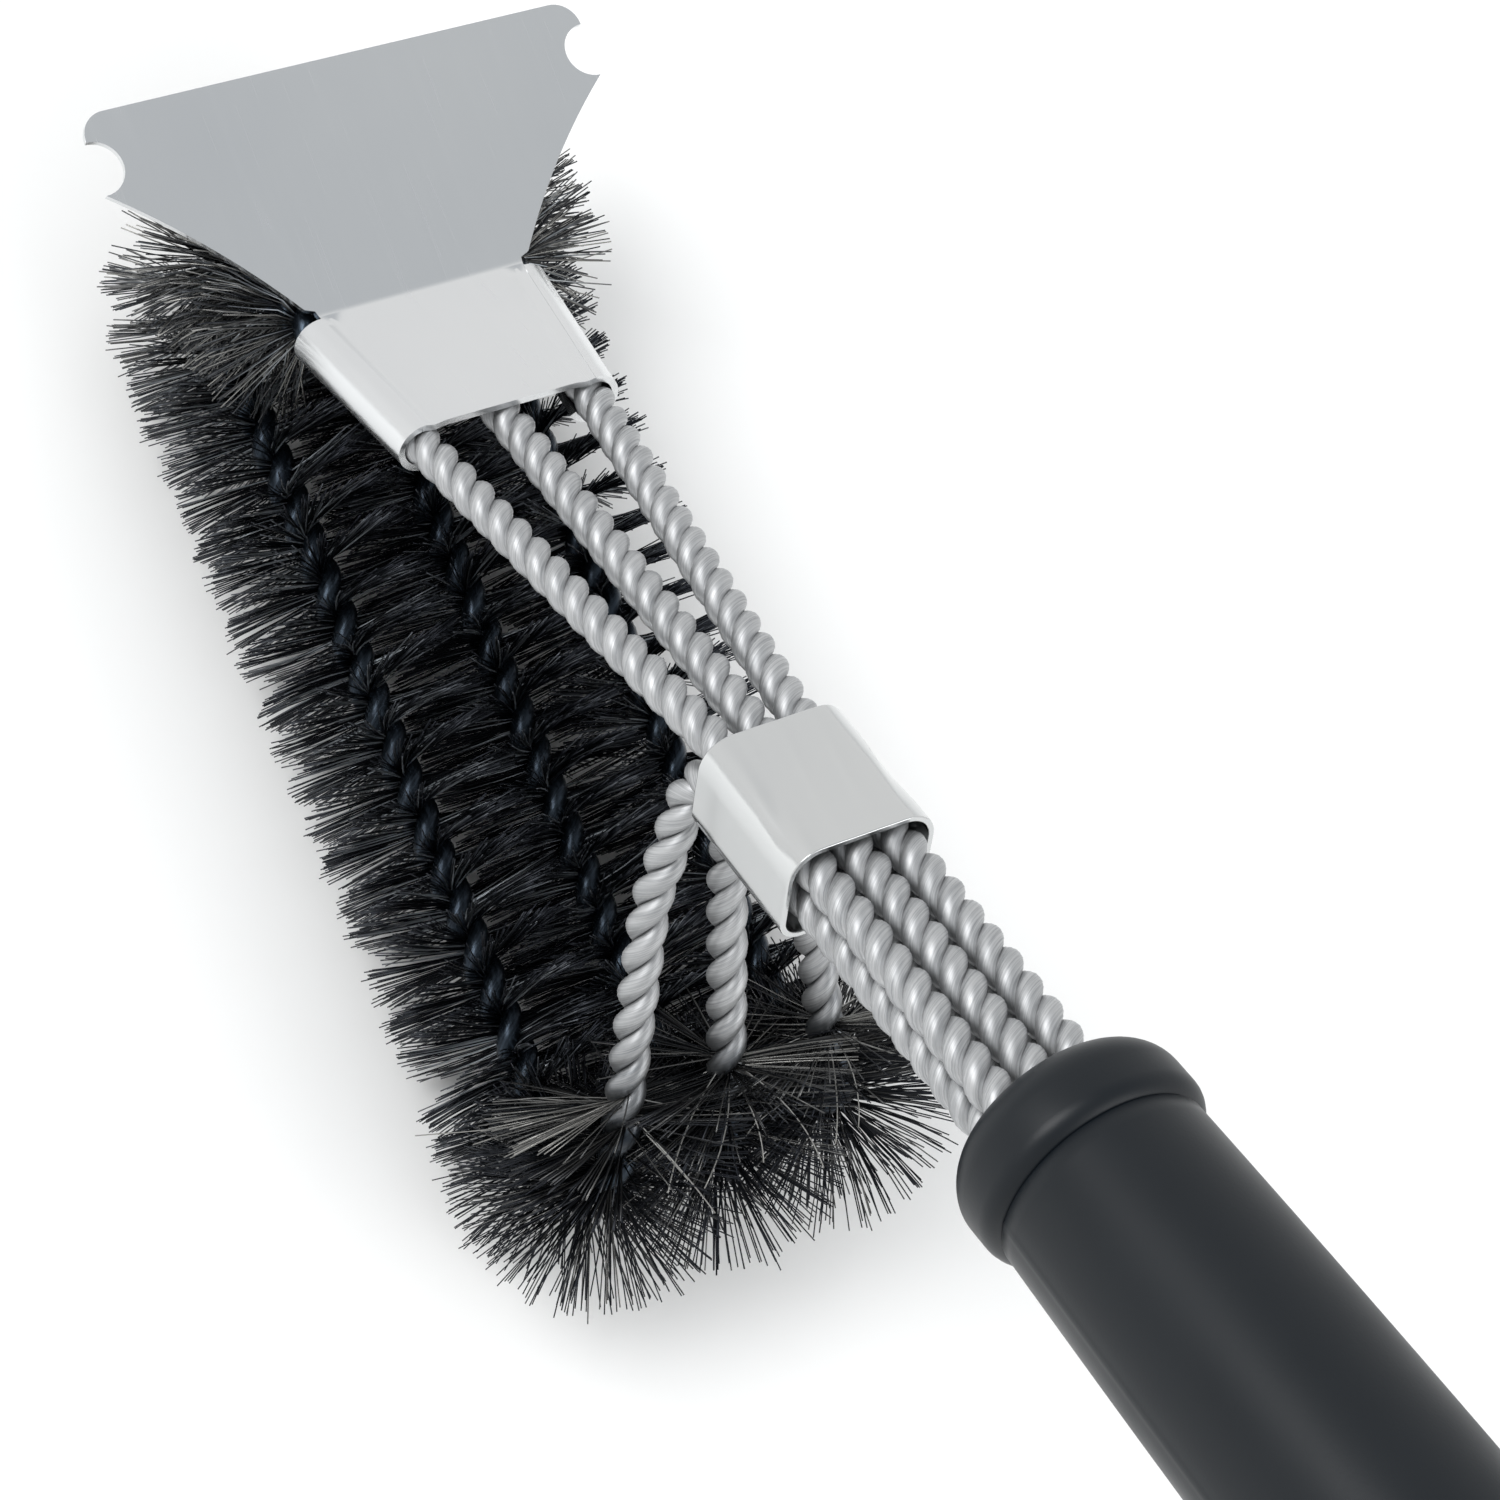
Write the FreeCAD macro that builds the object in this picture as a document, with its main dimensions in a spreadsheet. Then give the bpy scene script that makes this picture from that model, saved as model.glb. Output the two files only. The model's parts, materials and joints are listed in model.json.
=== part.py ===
"""Grill cleaning brush: three wire rows, a notched scraper and a long moulded handle.

Each of the three stems is one rope of two twisted wires. It leaves the handle as an upper
run, passes the collar, fans out into the scraper's sleeve, turns back as the core of a
bristle row, bends up at the heel and returns through the collar to the handle as a lower run.

Two frames are used. The row frame has +X towards the scraper, +Y to the left and +Z up, with
the bristles resting on Z = 0. The stem frame is the row frame turned about Y by the stem's
slope, with its origin on the middle upper rope at the collar's front mouth: "along" runs
towards the scraper, "side" to the left and "above" away from the rows.
"""
import FreeCAD, Part
import math
import os
import re

import Sketcher

Vec = FreeCAD.Vector
SIDES = {"left": 1, "centre": 0, "right": -1}

# Driving dimensions in millimetres and degrees.
SIZES = {
    # twisted ropes
    "rope_diameter": 6.0,
    "rope_clearance": 0.15,
    "rope_side_gap": 0.4,
    "rope_layer_gap": 0.1,
    "stem_slope": 29.7,
    "stem_height": 74.4,
    "fan_start": 3.0,
    "fan_spread": 0.1057,
    "fan_bend_radius": 40.0,
    # bends at the two ends of a row
    "nose_bend_radius": 8.0,
    "heel_bend_radius": 8.5,
    "heel_setback": 41.0,
    "riser_bend_radius": 5.5,
    "riser_lead": 6.5,
    "riser_bow_share": 0.3,
    "riser_bow_forward": 3.0,
    "riser_bow_outward": 1.8,
    "riser_bow_radius": 30.0,
    # bristle rows
    "row_spacing": 20.7,
    "bristle_radius": 16.0,
    "bristle_nose_cover": 2.737,
    "bristle_heel_cover": 19.0,
    "bristle_gap": 0.4,
    "bristle_round": 7.0,
    "bristle_bore_clearance": 0.1,
    # scraper
    "sheet_thickness": 1.0,
    "sleeve_mouth": 73.0,
    "sleeve_length": 28.1,
    "sleeve_lip_angle": 62.0,
    "blade_length": 37.6,
    "blade_half_width": 40.8,
    "blade_root_ease": 0.831,
    "blade_side_hollow": 1.2,
    "blade_rise": 3.5,
    "blade_corner_radius": 4.0,
    "notch_radius": 4.2,
    "notch_station": 29.3,
    # collar
    "collar_length": 23.3,
    "collar_thickness": 0.9,
    "collar_top_ease": 0.05,
    "collar_bottom_radius": 2.6,
    # handle
    "bare_length": 68.6,
    "bead_step": 1.4,
    "bead_length": 12.5,
    "bead_round": 6.0,
    "bead_rear_round": 3.0,
    "spigot_length": 14.0,
    "grip_length": 220.0,
    "grip_front_wall": 2.9,
    "grip_end_wall": 2.8,
    "grip_crown_radius": 3600.0,
    "spigot_wall": 0.714,
    "moulded_clearance": 0.1,
    "socket_length": 52.0,
    "rope_end_gap": 3.95,
    "pin_radius": 2.0,
    "pin_clearance": 0.05,
    "pin_setback": 6.0,
    "pin_recess": 0.6,
    # end cap and hanging loop
    "cap_length": 9.0,
    "cap_round": 4.5,
    "cap_spigot_length": 16.0,
    "tongue_width": 9.0,
    "tongue_radius": 5.0,
    "eye_offset": 11.0,
    "loop_wire_radius": 1.5,
    "loop_running_clearance": 0.05,
    "loop_side_gap": 2.0,
    "loop_drop": 36.0,
    "loop_bow_radius": 11.0,
    "loop_corner_radius": 3.2,
    "loop_end_gap": 2.0,
}

doc = FreeCAD.newDocument("grill_brush")
sheet = doc.addObject("Spreadsheet::Sheet", "Sizes")
for row, (alias, value) in enumerate(SIZES.items(), start=1):
    sheet.set(f"A{row}", alias)
    sheet.set(f"B{row}", str(value))
    sheet.setAlias(f"B{row}", alias)
doc.recompute()


def size(words):
    """The current value of a driving dimension, or of an expression of them."""
    value = sheet.evalExpression(words)
    return float(getattr(value, "Value", value))


# Expressions of the sheet for the sizes that follow from what fits inside.
SIDE_STEP = "(rope_diameter + rope_side_gap)"
LAYER_STEP = "(rope_diameter + rope_layer_gap)"
ROPE_HOLD = "(rope_diameter / 2 + rope_clearance)"
SLOT_REACH = f"({SIDE_STEP} + {ROPE_HOLD})"
SLOT_RISE = f"({LAYER_STEP} / 2 + {ROPE_HOLD})"
SPIGOT_RADIUS = f"(sqrt({SLOT_REACH}^2 + {SLOT_RISE}^2) + spigot_wall)"
BORE_RADIUS = f"({SPIGOT_RADIUS} + moulded_clearance)"
GRIP_FRONT = f"({BORE_RADIUS} + grip_front_wall)"
GRIP_END = f"({BORE_RADIUS} + grip_end_wall)"
BEAD_RADIUS = f"({GRIP_FRONT} + bead_step)"
PIN_HOLE = "(pin_radius + pin_clearance)"
SOCKET_FRONT = "(bead_length + spigot_length)"
ROPE_END = f"({SOCKET_FRONT} + socket_length - pin_setback - {PIN_HOLE} - rope_end_gap)"
PIN_STATION = f"({SOCKET_FRONT} + socket_length - pin_setback)"

ROPE_RADIUS = size("rope_diameter / 2")
SLOPE = math.radians(size("stem_slope"))
RISE = math.radians(size("blade_rise"))
ROW_HEIGHT = size("bristle_radius")
HANDLE_LENGTH = size("bead_length") + size("grip_length") + size("cap_length")
EYE_ALONG = -(size("bare_length") + HANDLE_LENGTH + size("eye_offset"))
HANDLE_ABOVE = -size(LAYER_STEP) / 2
SLEEVE_WALL = size(ROPE_HOLD)
SLEEVE_OUTER = SLEEVE_WALL + size("sheet_thickness")
BEND_ALONG = size("sleeve_mouth") + size("sleeve_length")
# The heel's corner depends on the riser's direction and the other way round, so it is
# worked out in a few passes.
HEEL_PASSES = 12
# The share of a short run that the bends at its two ends may use up.
RUN_SHARE = 0.999
# The share of a row's radius that the rounding of its ends may use up.
ROUND_SHARE = 0.9
# A half round drawn with a radius this much over its half width keeps a sound chord.
TONGUE_END_EASE = 1.0001
# How far a tube's volume may be from its section times its length.
VOLUME_TOLERANCE = 0.01


def side_profile(along, above):
    """X and height above the row cores of a point given in the stem frame."""
    x = along * math.cos(SLOPE) + above * math.sin(SLOPE)
    z = size("stem_height") - along * math.sin(SLOPE) + above * math.cos(SLOPE)
    return x, z


def centring_shift():
    """How far the brush moves along X so that its box is centred on the origin."""
    bend_x, _ = side_profile(BEND_ALONG, SLEEVE_OUTER)
    front = bend_x + size("blade_length") * math.cos(RISE) + size("sheet_thickness") * math.sin(RISE)
    eye_x, _ = side_profile(EYE_ALONG, HANDLE_ABOVE)
    return -(front + eye_x - size("tongue_radius")) / 2


SHIFT = centring_shift()


def stem_point(along, side, above):
    """A point of the stem frame, in the part's own frame."""
    x, z = side_profile(along, above)
    return Vec(x + SHIFT, side, z + ROW_HEIGHT)


def stem_placement(along, above=0.0):
    """Turns a piece built along X into the stem frame at a station."""
    tilt = FreeCAD.Rotation(Vec(0, 1, 0), math.degrees(SLOPE))
    return FreeCAD.Placement(stem_point(along, 0, above), tilt)


def row_point(x, row, z=0.0):
    """A point given by its distance ahead of the collar's mouth and height above a row core."""
    return Vec(x + SHIFT, row * size("row_spacing"), z + ROW_HEIGHT)


# ---------------------------------------------------------------- sketches and bodies


def new_body(label):
    body = doc.addObject("PartDesign::Body", label)
    body.Label = label
    return body


def new_sketch(body, name, role):
    sketch = body.newObject("Sketcher::SketchObject", name)
    plane = next(f for f in body.Origin.OriginFeatures if f.Role == role)
    sketch.AttachmentSupport = [(plane, "")]
    sketch.MapMode = "FlatFace"
    return sketch


def number(sketch, words):
    """The value of an expression of sheet aliases."""
    value = sketch.evalExpression(words)
    return float(getattr(value, "Value", value))


def bound(words):
    """Writes every driving dimension's name as a reference to the sheet."""

    def reference(match):
        word = match.group(0)
        return f"<<Sizes>>.{word}" if word in SIZES else word

    return re.sub(r"[a-z_]+", reference, words)


def hold_point(sketch, geometry, end, x_words, y_words):
    """Holds one point of a sketch at coordinates worked out from the sheet."""
    for kind, words, axis in (("DistanceX", x_words, -2), ("DistanceY", y_words, -1)):
        value = number(sketch, bound(words))
        if abs(value) < 1e-9:
            sketch.addConstraint(Sketcher.Constraint("PointOnObject", geometry, end, axis))
            continue
        rule = Sketcher.Constraint(kind, -1, 1, geometry, end, value)
        place = sketch.addConstraint(rule)
        sketch.setExpression(f"Constraints[{place}]", bound(words))


def hold_radius(sketch, geometry, words):
    """Holds the radius of an arc or circle."""
    value = number(sketch, bound(words))
    place = sketch.addConstraint(Sketcher.Constraint("Radius", geometry, value))
    sketch.setExpression(f"Constraints[{place}]", bound(words))


def draw_outline(sketch, corners):
    """Closed outline of (x, y) or (x, y, radius) corners.

    A radius bends the segment that starts at its corner into an arc. A positive radius
    turns to the left on the way to the next corner, a negative one to the right.
    """
    points = [Vec(number(sketch, bound(c[0])), number(sketch, bound(c[1])), 0) for c in corners]
    first = sketch.GeometryCount
    count = len(corners)
    for index, corner in enumerate(corners):
        start = points[index]
        end = points[(index + 1) % count]
        if len(corner) == 2:
            sketch.addGeometry(Part.LineSegment(start, end), False)
            continue
        radius = number(sketch, bound(corner[2]))
        chord = end - start
        left = Vec(-chord.y, chord.x, 0).normalize()
        half = chord.Length / 2
        sagitta = abs(radius) - math.sqrt(radius * radius - half * half)
        middle = (start + end) / 2 - left * math.copysign(sagitta, radius)
        sketch.addGeometry(Part.Arc(start, middle, end), False)
    ends = []
    for index, corner in enumerate(corners):
        reversed_arc = len(corner) == 3 and number(sketch, bound(corner[2])) < 0
        ends.append((2, 1) if reversed_arc else (1, 2))
    for index in range(count):
        after = (index + 1) % count
        joint = (first + index, ends[index][1], first + after, ends[after][0])
        sketch.addConstraint(Sketcher.Constraint("Coincident", *joint))
    for index, corner in enumerate(corners):
        hold_point(sketch, first + index, ends[index][0], corner[0], corner[1])
        if len(corner) == 3:
            hold_radius(sketch, first + index, f"abs({corner[2]})")


def draw_circle(sketch, x_words, y_words, radius_words):
    """Circle whose centre and radius follow the sheet."""
    x = number(sketch, bound(x_words))
    y = number(sketch, bound(y_words))
    radius = number(sketch, bound(radius_words))
    index = sketch.addGeometry(Part.Circle(Vec(x, y, 0), Vec(0, 0, 1), radius), False)
    hold_point(sketch, index, 3, x_words, y_words)
    hold_radius(sketch, index, radius_words)


def revolve(body, name, corners):
    """Turns an outline of the XZ plane about the body's X axis."""
    sketch = new_sketch(body, f"{name}_profile", "XZ_Plane")
    draw_outline(sketch, corners)
    solid = body.newObject("PartDesign::Revolution", name)
    solid.Profile = sketch
    solid.ReferenceAxis = (sketch, ["H_Axis"])
    solid.Angle = 360.0
    doc.recompute()
    return solid


def pocket(body, sketch, name, both_sides=False, depth=None):
    """Cuts a sketch through the body, or to a depth, and makes sure that it removed metal."""
    before = body.Shape.Volume
    cut = body.newObject("PartDesign::Pocket", name)
    cut.Profile = sketch
    cut.Midplane = both_sides
    if depth is None:
        cut.Type = 1
    else:
        cut.Type = 0
        cut.Length = number(sketch, bound(depth))
        cut.setExpression("Length", bound(depth))
    doc.recompute()
    if body.Shape.Volume > before - 1e-6:
        cut.Reversed = True
        doc.recompute()
    if body.Shape.Volume > before - 1e-6:
        raise ValueError(f"{name} cuts nothing")
    return cut


# ---------------------------------------------------------------- twisted ropes


def bent_path(corners, radii):
    """Edges of straight runs joined by tangent arcs, one radius for each inner corner."""
    edges = []
    start = corners[0]
    for index in range(1, len(corners) - 1):
        corner = corners[index]
        back = (corners[index - 1] - corner).normalize()
        ahead = (corners[index + 1] - corner).normalize()
        half_turn = (math.pi - back.getAngle(ahead)) / 2
        tangent = radii[index - 1] * math.tan(half_turn)
        enter = corner + back * tangent
        leave = corner + ahead * tangent
        inward = (back + ahead).normalize()
        depth = radii[index - 1] * (1 / math.cos(half_turn) - 1)
        edges.append(Part.LineSegment(start, enter).toShape())
        edges.append(Part.Arc(enter, corner + inward * depth, leave).toShape())
        start = leave
    edges.append(Part.LineSegment(start, corners[-1]).toShape())
    return edges


def tube(edges, radius):
    """Round solid along tangent edges, its volume compared with section times length."""
    wire = Part.Wire(edges)
    first = edges[0]
    start = first.valueAt(first.FirstParameter)
    direction = first.tangentAt(first.FirstParameter)
    ring = Part.Wire([Part.Circle(start, direction, radius).toShape()])
    solid = wire.makePipeShell([ring], True, False)
    expected = math.pi * radius**2 * wire.Length
    if abs(solid.Volume / expected - 1) > VOLUME_TOLERANCE:
        raise ValueError(f"a rope's volume is {solid.Volume:.0f}, not {expected:.0f}")
    return solid


def fan_side(row, along):
    """How far an upper rope stands to the left at a station ahead of the collar."""
    return row * (size(SIDE_STEP) + size("fan_spread") * (along - size("fan_start")))


def nose_place():
    """Where the nose bend starts along a stem, and where it ends along its row."""
    radius = size("nose_bend_radius")
    drop = radius * (1 + math.cos(SLOPE))
    nose_start = (size("stem_height") - drop) / math.sin(SLOPE)
    start_x, _ = side_profile(nose_start, 0)
    return nose_start, start_x - radius * math.sin(SLOPE)


def stem_runs(row):
    """The edges of each run of one stem, from the handle's upper rope to its lower rope."""
    side = row * size(SIDE_STEP)
    rear = -size(f"bare_length + {ROPE_END}")
    nose_start, row_start = nose_place()
    nose_tangent = size("nose_bend_radius") * math.tan((math.pi - SLOPE) / 4)
    corner_along = nose_start + nose_tangent
    lower = -size(LAYER_STEP)
    heel_radius = size("heel_bend_radius")
    top = stem_point(size("riser_lead"), side, lower)
    heel_centre = -size("heel_setback") + heel_radius
    corner_x = heel_centre
    bow = Vec(size("riser_bow_forward"), row * size("riser_bow_outward"), 0)
    for _ in range(HEEL_PASSES):
        heel = row_point(corner_x, row)
        knee = top + (heel - top) * size("riser_bow_share") + bow
        climb = (knee - heel).normalize()
        turn = math.pi - climb.getAngle(Vec(1, 0, 0))
        corner_x = heel_centre - heel_radius * math.tan(turn / 2)
    corners = [
        stem_point(rear, side, 0),
        stem_point(size("fan_start"), side, 0),
        stem_point(corner_along, fan_side(row, corner_along), 0),
        row_point(row_start + nose_tangent, row),
        heel,
        knee,
        top,
        stem_point(rear, side, lower),
    ]
    nose_run = (corners[3] - corners[2]).Length / 2
    turns = []
    for index in (2, 3):
        back = (corners[index - 1] - corners[index]).normalize()
        ahead = (corners[index + 1] - corners[index]).normalize()
        turns.append((math.pi - back.getAngle(ahead)) / 2)
    nose_radii = [RUN_SHARE * nose_run / math.tan(half) for half in turns]
    radii = [size("fan_bend_radius"), *nose_radii, heel_radius]
    radii += [size("riser_bow_radius"), size("riser_bend_radius")]
    if row == 0:
        corners.pop(1)
        radii.pop(0)
    edges = bent_path(corners, radii)
    bends = 0 if row == 0 else 2
    return {
        "upper_run": edges[: bends + 1],
        "nose_bend": edges[bends + 1 : bends + 4],
        "row_core": edges[bends + 4 : bends + 5],
        "riser": edges[bends + 5 : bends + 10],
        "lower_run": edges[bends + 10 :],
    }


def make_stem(name, row):
    """One rope as its five runs, each a node of its own."""
    made = []
    for run, edges in stem_runs(row).items():
        piece = doc.addObject("Part::Feature", f"{name}_{run}")
        piece.Label = f"{name}_{run}"
        piece.Shape = tube(edges, ROPE_RADIUS)
        made.append(piece)
    return made


def make_bristle_row(name, row):
    """Envelope of a row's wire tufts, trimmed half way to its neighbours and open for its rope."""
    radius = size("bristle_radius")
    _, row_start = nose_place()
    front = row_start + size("nose_bend_radius + bristle_nose_cover")
    rear = size("heel_setback + bristle_heel_cover")
    length = front + rear
    centre = row_point(-rear, row)
    solid = Part.makeCylinder(radius, length, centre, Vec(1, 0, 0))
    rims = [edge for edge in solid.Edges if len(edge.Vertexes) == 1]
    solid = solid.makeFillet(min(size("bristle_round"), radius * ROUND_SHARE), rims)
    inner = size("row_spacing - bristle_gap") / 2
    reach = 2 * radius + size("row_spacing")
    low = -inner if row >= 0 else -reach
    high = inner if row <= 0 else reach
    slab_corner = centre + Vec(-radius, low, -2 * radius)
    slab = Part.makeBox(length + 2 * radius, high - low, 4 * radius, slab_corner)
    solid = solid.common(slab)
    bore = ROPE_RADIUS + size("bristle_bore_clearance")
    for edges in stem_runs(row).values():
        solid = solid.cut(tube(edges, bore))
    piece = doc.addObject("Part::Feature", f"{name}_bristles")
    piece.Label = f"{name}_bristles"
    piece.Shape = max(solid.Solids, key=lambda s: s.Volume)
    return [piece]


# ---------------------------------------------------------------- scraper and collar


def sleeve_section(along):
    """Closed outline of the folded sheet across the stems at one station.

    The sheet lies flat over the three ropes, curls round each outer rope and ends in a lip
    that stands up between it and the middle rope.
    """
    centre = fan_side(1, along)
    lip = math.radians(size("sleeve_lip_angle"))

    def on_arc(side, radius, angle):
        return Vec(along, side * (centre - radius * math.cos(angle)), radius * math.sin(angle))

    edges = []
    for side in (1, -1):
        for radius in (SLEEVE_OUTER, SLEEVE_WALL):
            top = on_arc(side, radius, math.pi / 2)
            outside = on_arc(side, radius, math.pi)
            below = on_arc(side, radius, 3 * math.pi / 2)
            inside_angle = 3 * math.pi / 2 + lip
            past = on_arc(side, radius, 3 * math.pi / 2 + lip / 2)
            inside = on_arc(side, radius, inside_angle)
            edges.append(Part.Arc(top, outside, below).toShape())
            edges.append(Part.Arc(below, past, inside).toShape())
        outer_end = on_arc(side, SLEEVE_OUTER, inside_angle)
        inner_end = on_arc(side, SLEEVE_WALL, inside_angle)
        edges.append(Part.LineSegment(outer_end, inner_end).toShape())
    for radius in (SLEEVE_OUTER, SLEEVE_WALL):
        ends = (Vec(along, centre, radius), Vec(along, -centre, radius))
        edges.append(Part.LineSegment(*ends).toShape())
    return Part.Wire(Part.__sortEdges__(edges))


def blade_root():
    """Half the blade's width where it meets the sleeve's front."""
    return fan_side(1, BEND_ALONG) + size("blade_root_ease")


def blade_outline():
    """Outline of the blade in its own plane, X forward from the bend and Y to the left."""
    length = size("blade_length")
    width = size("blade_half_width")
    root = blade_root()
    station = size("notch_station")
    notch = size("notch_radius")
    corner = size("blade_corner_radius")
    hollow = size("blade_side_hollow")
    edges = []
    for side in (1, -1):
        start = Vec(0, side * root, 0)
        shoulder = Vec(station - notch, side * width, 0)
        across = (shoulder - start).normalize()
        outward = Vec(-across.y, across.x, 0) * side
        middle = (start + shoulder) / 2 - outward * hollow
        deepest = Vec(station, side * (width - notch), 0)
        lobe = Vec(station + notch, side * width, 0)
        round_start = Vec(length - corner, side * width, 0)
        diagonal = corner * (1 - math.sqrt(0.5))
        round_middle = Vec(length - diagonal, side * (width - diagonal), 0)
        front = Vec(length, side * (width - corner), 0)
        edges.append(Part.Arc(start, middle, shoulder).toShape())
        edges.append(Part.Arc(shoulder, deepest, lobe).toShape())
        if (round_start - lobe).Length > 1e-6:
            edges.append(Part.LineSegment(lobe, round_start).toShape())
        edges.append(Part.Arc(round_start, round_middle, front).toShape())
    half = width - corner
    edges.append(Part.LineSegment(Vec(length, half, 0), Vec(length, -half, 0)).toShape())
    edges.append(Part.LineSegment(Vec(0, root, 0), Vec(0, -root, 0)).toShape())
    return Part.Wire(Part.__sortEdges__(edges))


def bend_wedge(turn):
    """Sheet metal round the outside of the bend between the sleeve and the blade."""
    root = blade_root()
    pivot = Vec(BEND_ALONG, -root, SLEEVE_OUTER)
    down = Vec(0, 0, -size("sheet_thickness"))
    half_turn = FreeCAD.Rotation(turn.Axis, math.degrees(turn.Angle) / 2)
    ends = [pivot + down, pivot + half_turn.multVec(down), pivot + turn.multVec(down)]
    outline = [
        Part.LineSegment(pivot, ends[0]).toShape(),
        Part.Arc(*ends).toShape(),
        Part.LineSegment(ends[2], pivot).toShape(),
    ]
    return Part.Face(Part.Wire(outline)).extrude(Vec(0, 2 * root, 0))


def make_scraper():
    """One stamped sheet: the sleeve on the three ropes and the notched blade ahead of it."""
    mouth = sleeve_section(size("sleeve_mouth"))
    front = sleeve_section(BEND_ALONG)
    sleeve = Part.makeLoft([mouth, front], True, True)
    blade = Part.Face(blade_outline()).extrude(Vec(0, 0, -size("sheet_thickness")))
    turn = FreeCAD.Rotation(Vec(0, 1, 0), -(size("stem_slope") + size("blade_rise")))
    blade.Placement = FreeCAD.Placement(Vec(BEND_ALONG, 0, SLEEVE_OUTER), turn)
    solid = sleeve.multiFuse([blade, bend_wedge(turn)])
    piece = doc.addObject("Part::Feature", "scraper")
    piece.Label = "scraper"
    piece.Shape = solid.removeSplitter()
    piece.Placement = stem_placement(0)
    return [piece]


def collar_corners(grow, side_words, above_words, below_words, top, bottom):
    """Rounded outline of the collar's section, as corners for draw_outline."""
    upper = f"({above_words} + {grow})"
    lower = f"-({below_words} + {grow})"
    reach = f"({side_words} + {grow})"
    return [
        (f"-{reach} + {bottom}", lower),
        (f"{reach} - {bottom}", lower, bottom),
        (reach, f"{lower} + {bottom}"),
        (reach, f"{upper} - {top}", top),
        (f"{reach} - {top}", upper),
        (f"-{reach} + {top}", upper, top),
        (f"-{reach}", f"{upper} - {top}"),
        (f"-{reach}", f"{lower} + {bottom}", bottom),
    ]


def make_collar():
    """Band round the six ropes, a flat-topped strip with large shoulders."""
    body = new_body("collar")
    below = f"({LAYER_STEP} + {ROPE_HOLD})"
    sketch = new_sketch(body, "collar_section", "YZ_Plane")
    inner_top = f"({ROPE_HOLD} - collar_top_ease)"
    inner_bottom = "(collar_bottom_radius - collar_thickness)"
    outer_top = f"({inner_top} + collar_thickness)"
    outer = ("collar_thickness", SLOT_REACH, ROPE_HOLD, below, outer_top, "collar_bottom_radius")
    inner = ("0", SLOT_REACH, ROPE_HOLD, below, inner_top, inner_bottom)
    draw_outline(sketch, collar_corners(*outer))
    draw_outline(sketch, collar_corners(*inner))
    band = body.newObject("PartDesign::Pad", "band")
    band.Profile = sketch
    band.Length = size("collar_length")
    band.setExpression("Length", bound("collar_length"))
    band.Reversed = True
    body.Placement = stem_placement(0)
    doc.recompute()
    return [body]


# ---------------------------------------------------------------- handle


def handle_placement():
    return stem_placement(-size("bare_length"), HANDLE_ABOVE)


def make_front_ferrule():
    """Rounded nose ring of the handle, with a spigot and a slot for the six ropes."""
    body = new_body("front_ferrule")
    revolve(
        body,
        "ferrule_ring",
        [
            ("0", "0"),
            ("0", f"{BEAD_RADIUS} - bead_round", "bead_round"),
            ("-bead_round", BEAD_RADIUS),
            ("-bead_length + bead_rear_round", BEAD_RADIUS, "bead_rear_round"),
            ("-bead_length", f"{BEAD_RADIUS} - bead_rear_round"),
            ("-bead_length", SPIGOT_RADIUS),
            ("-bead_length - spigot_length", SPIGOT_RADIUS),
            ("-bead_length - spigot_length", "0"),
        ],
    )
    slot = new_sketch(body, "rope_slot", "YZ_Plane")
    draw_outline(
        slot,
        [
            (f"-{SLOT_REACH}", f"-{SLOT_RISE}"),
            (SLOT_REACH, f"-{SLOT_RISE}"),
            (SLOT_REACH, SLOT_RISE),
            (f"-{SLOT_REACH}", SLOT_RISE),
        ],
    )
    pocket(body, slot, "rope_slot_cut", both_sides=True)
    body.Placement = handle_placement()
    return [body]


def pin_hole(body, name):
    """Drills the socket pin's hole across a piece of the handle."""
    sketch = new_sketch(body, name, "XZ_Plane")
    draw_circle(sketch, f"-{PIN_STATION}", "0", PIN_HOLE)
    pocket(body, sketch, f"{name}_cut", both_sides=True)


def make_grip():
    """Hollow moulded grip with a slight crown along its length."""
    body = new_body("grip")
    rear = "-(bead_length + grip_length)"
    revolve(
        body,
        "grip_tube",
        [
            ("-bead_length", BORE_RADIUS),
            ("-bead_length", GRIP_FRONT, "grip_crown_radius"),
            (rear, GRIP_END),
            (rear, BORE_RADIUS),
        ],
    )
    pin_hole(body, "grip_pin_hole")
    body.Placement = handle_placement()
    return [body]


def make_wire_socket():
    """Moulded plug inside the grip that holds the ends of the six ropes."""
    body = new_body("wire_socket")
    front = f"-{SOCKET_FRONT}"
    rear = f"-({SOCKET_FRONT} + socket_length)"
    corners = [(front, "0"), (front, SPIGOT_RADIUS), (rear, SPIGOT_RADIUS), (rear, "0")]
    revolve(body, "socket_plug", corners)
    ropes = new_sketch(body, "rope_holes", "YZ_Plane")
    for side in (-1, 0, 1):
        for layer in (-1, 1):
            draw_circle(
                ropes,
                f"{side} * {SIDE_STEP}",
                f"{layer} * {LAYER_STEP} / 2",
                "rope_diameter / 2 + rope_clearance / 5",
            )
    pocket(body, ropes, "rope_holes_cut", depth=ROPE_END)
    pin_hole(body, "socket_pin_hole")
    body.Placement = handle_placement()
    return [body]


def make_socket_pin():
    """Steel pin across the grip that keeps the socket in it."""
    pin = doc.addObject("Part::Cylinder", "socket_pin")
    pin.Label = "socket_pin"
    half_length = f"({GRIP_FRONT} - pin_recess)"
    pin.Radius = size("pin_radius")
    pin.setExpression("Radius", bound("pin_radius"))
    pin.Height = size(f"2 * {half_length}")
    pin.setExpression("Height", bound(f"2 * {half_length}"))
    along = -size(f"bare_length + {PIN_STATION}")
    end = stem_point(along, -size(half_length), HANDLE_ABOVE)
    pin.Placement = FreeCAD.Placement(end, FreeCAD.Rotation(Vec(1, 0, 0), -90))
    return [pin]


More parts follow.
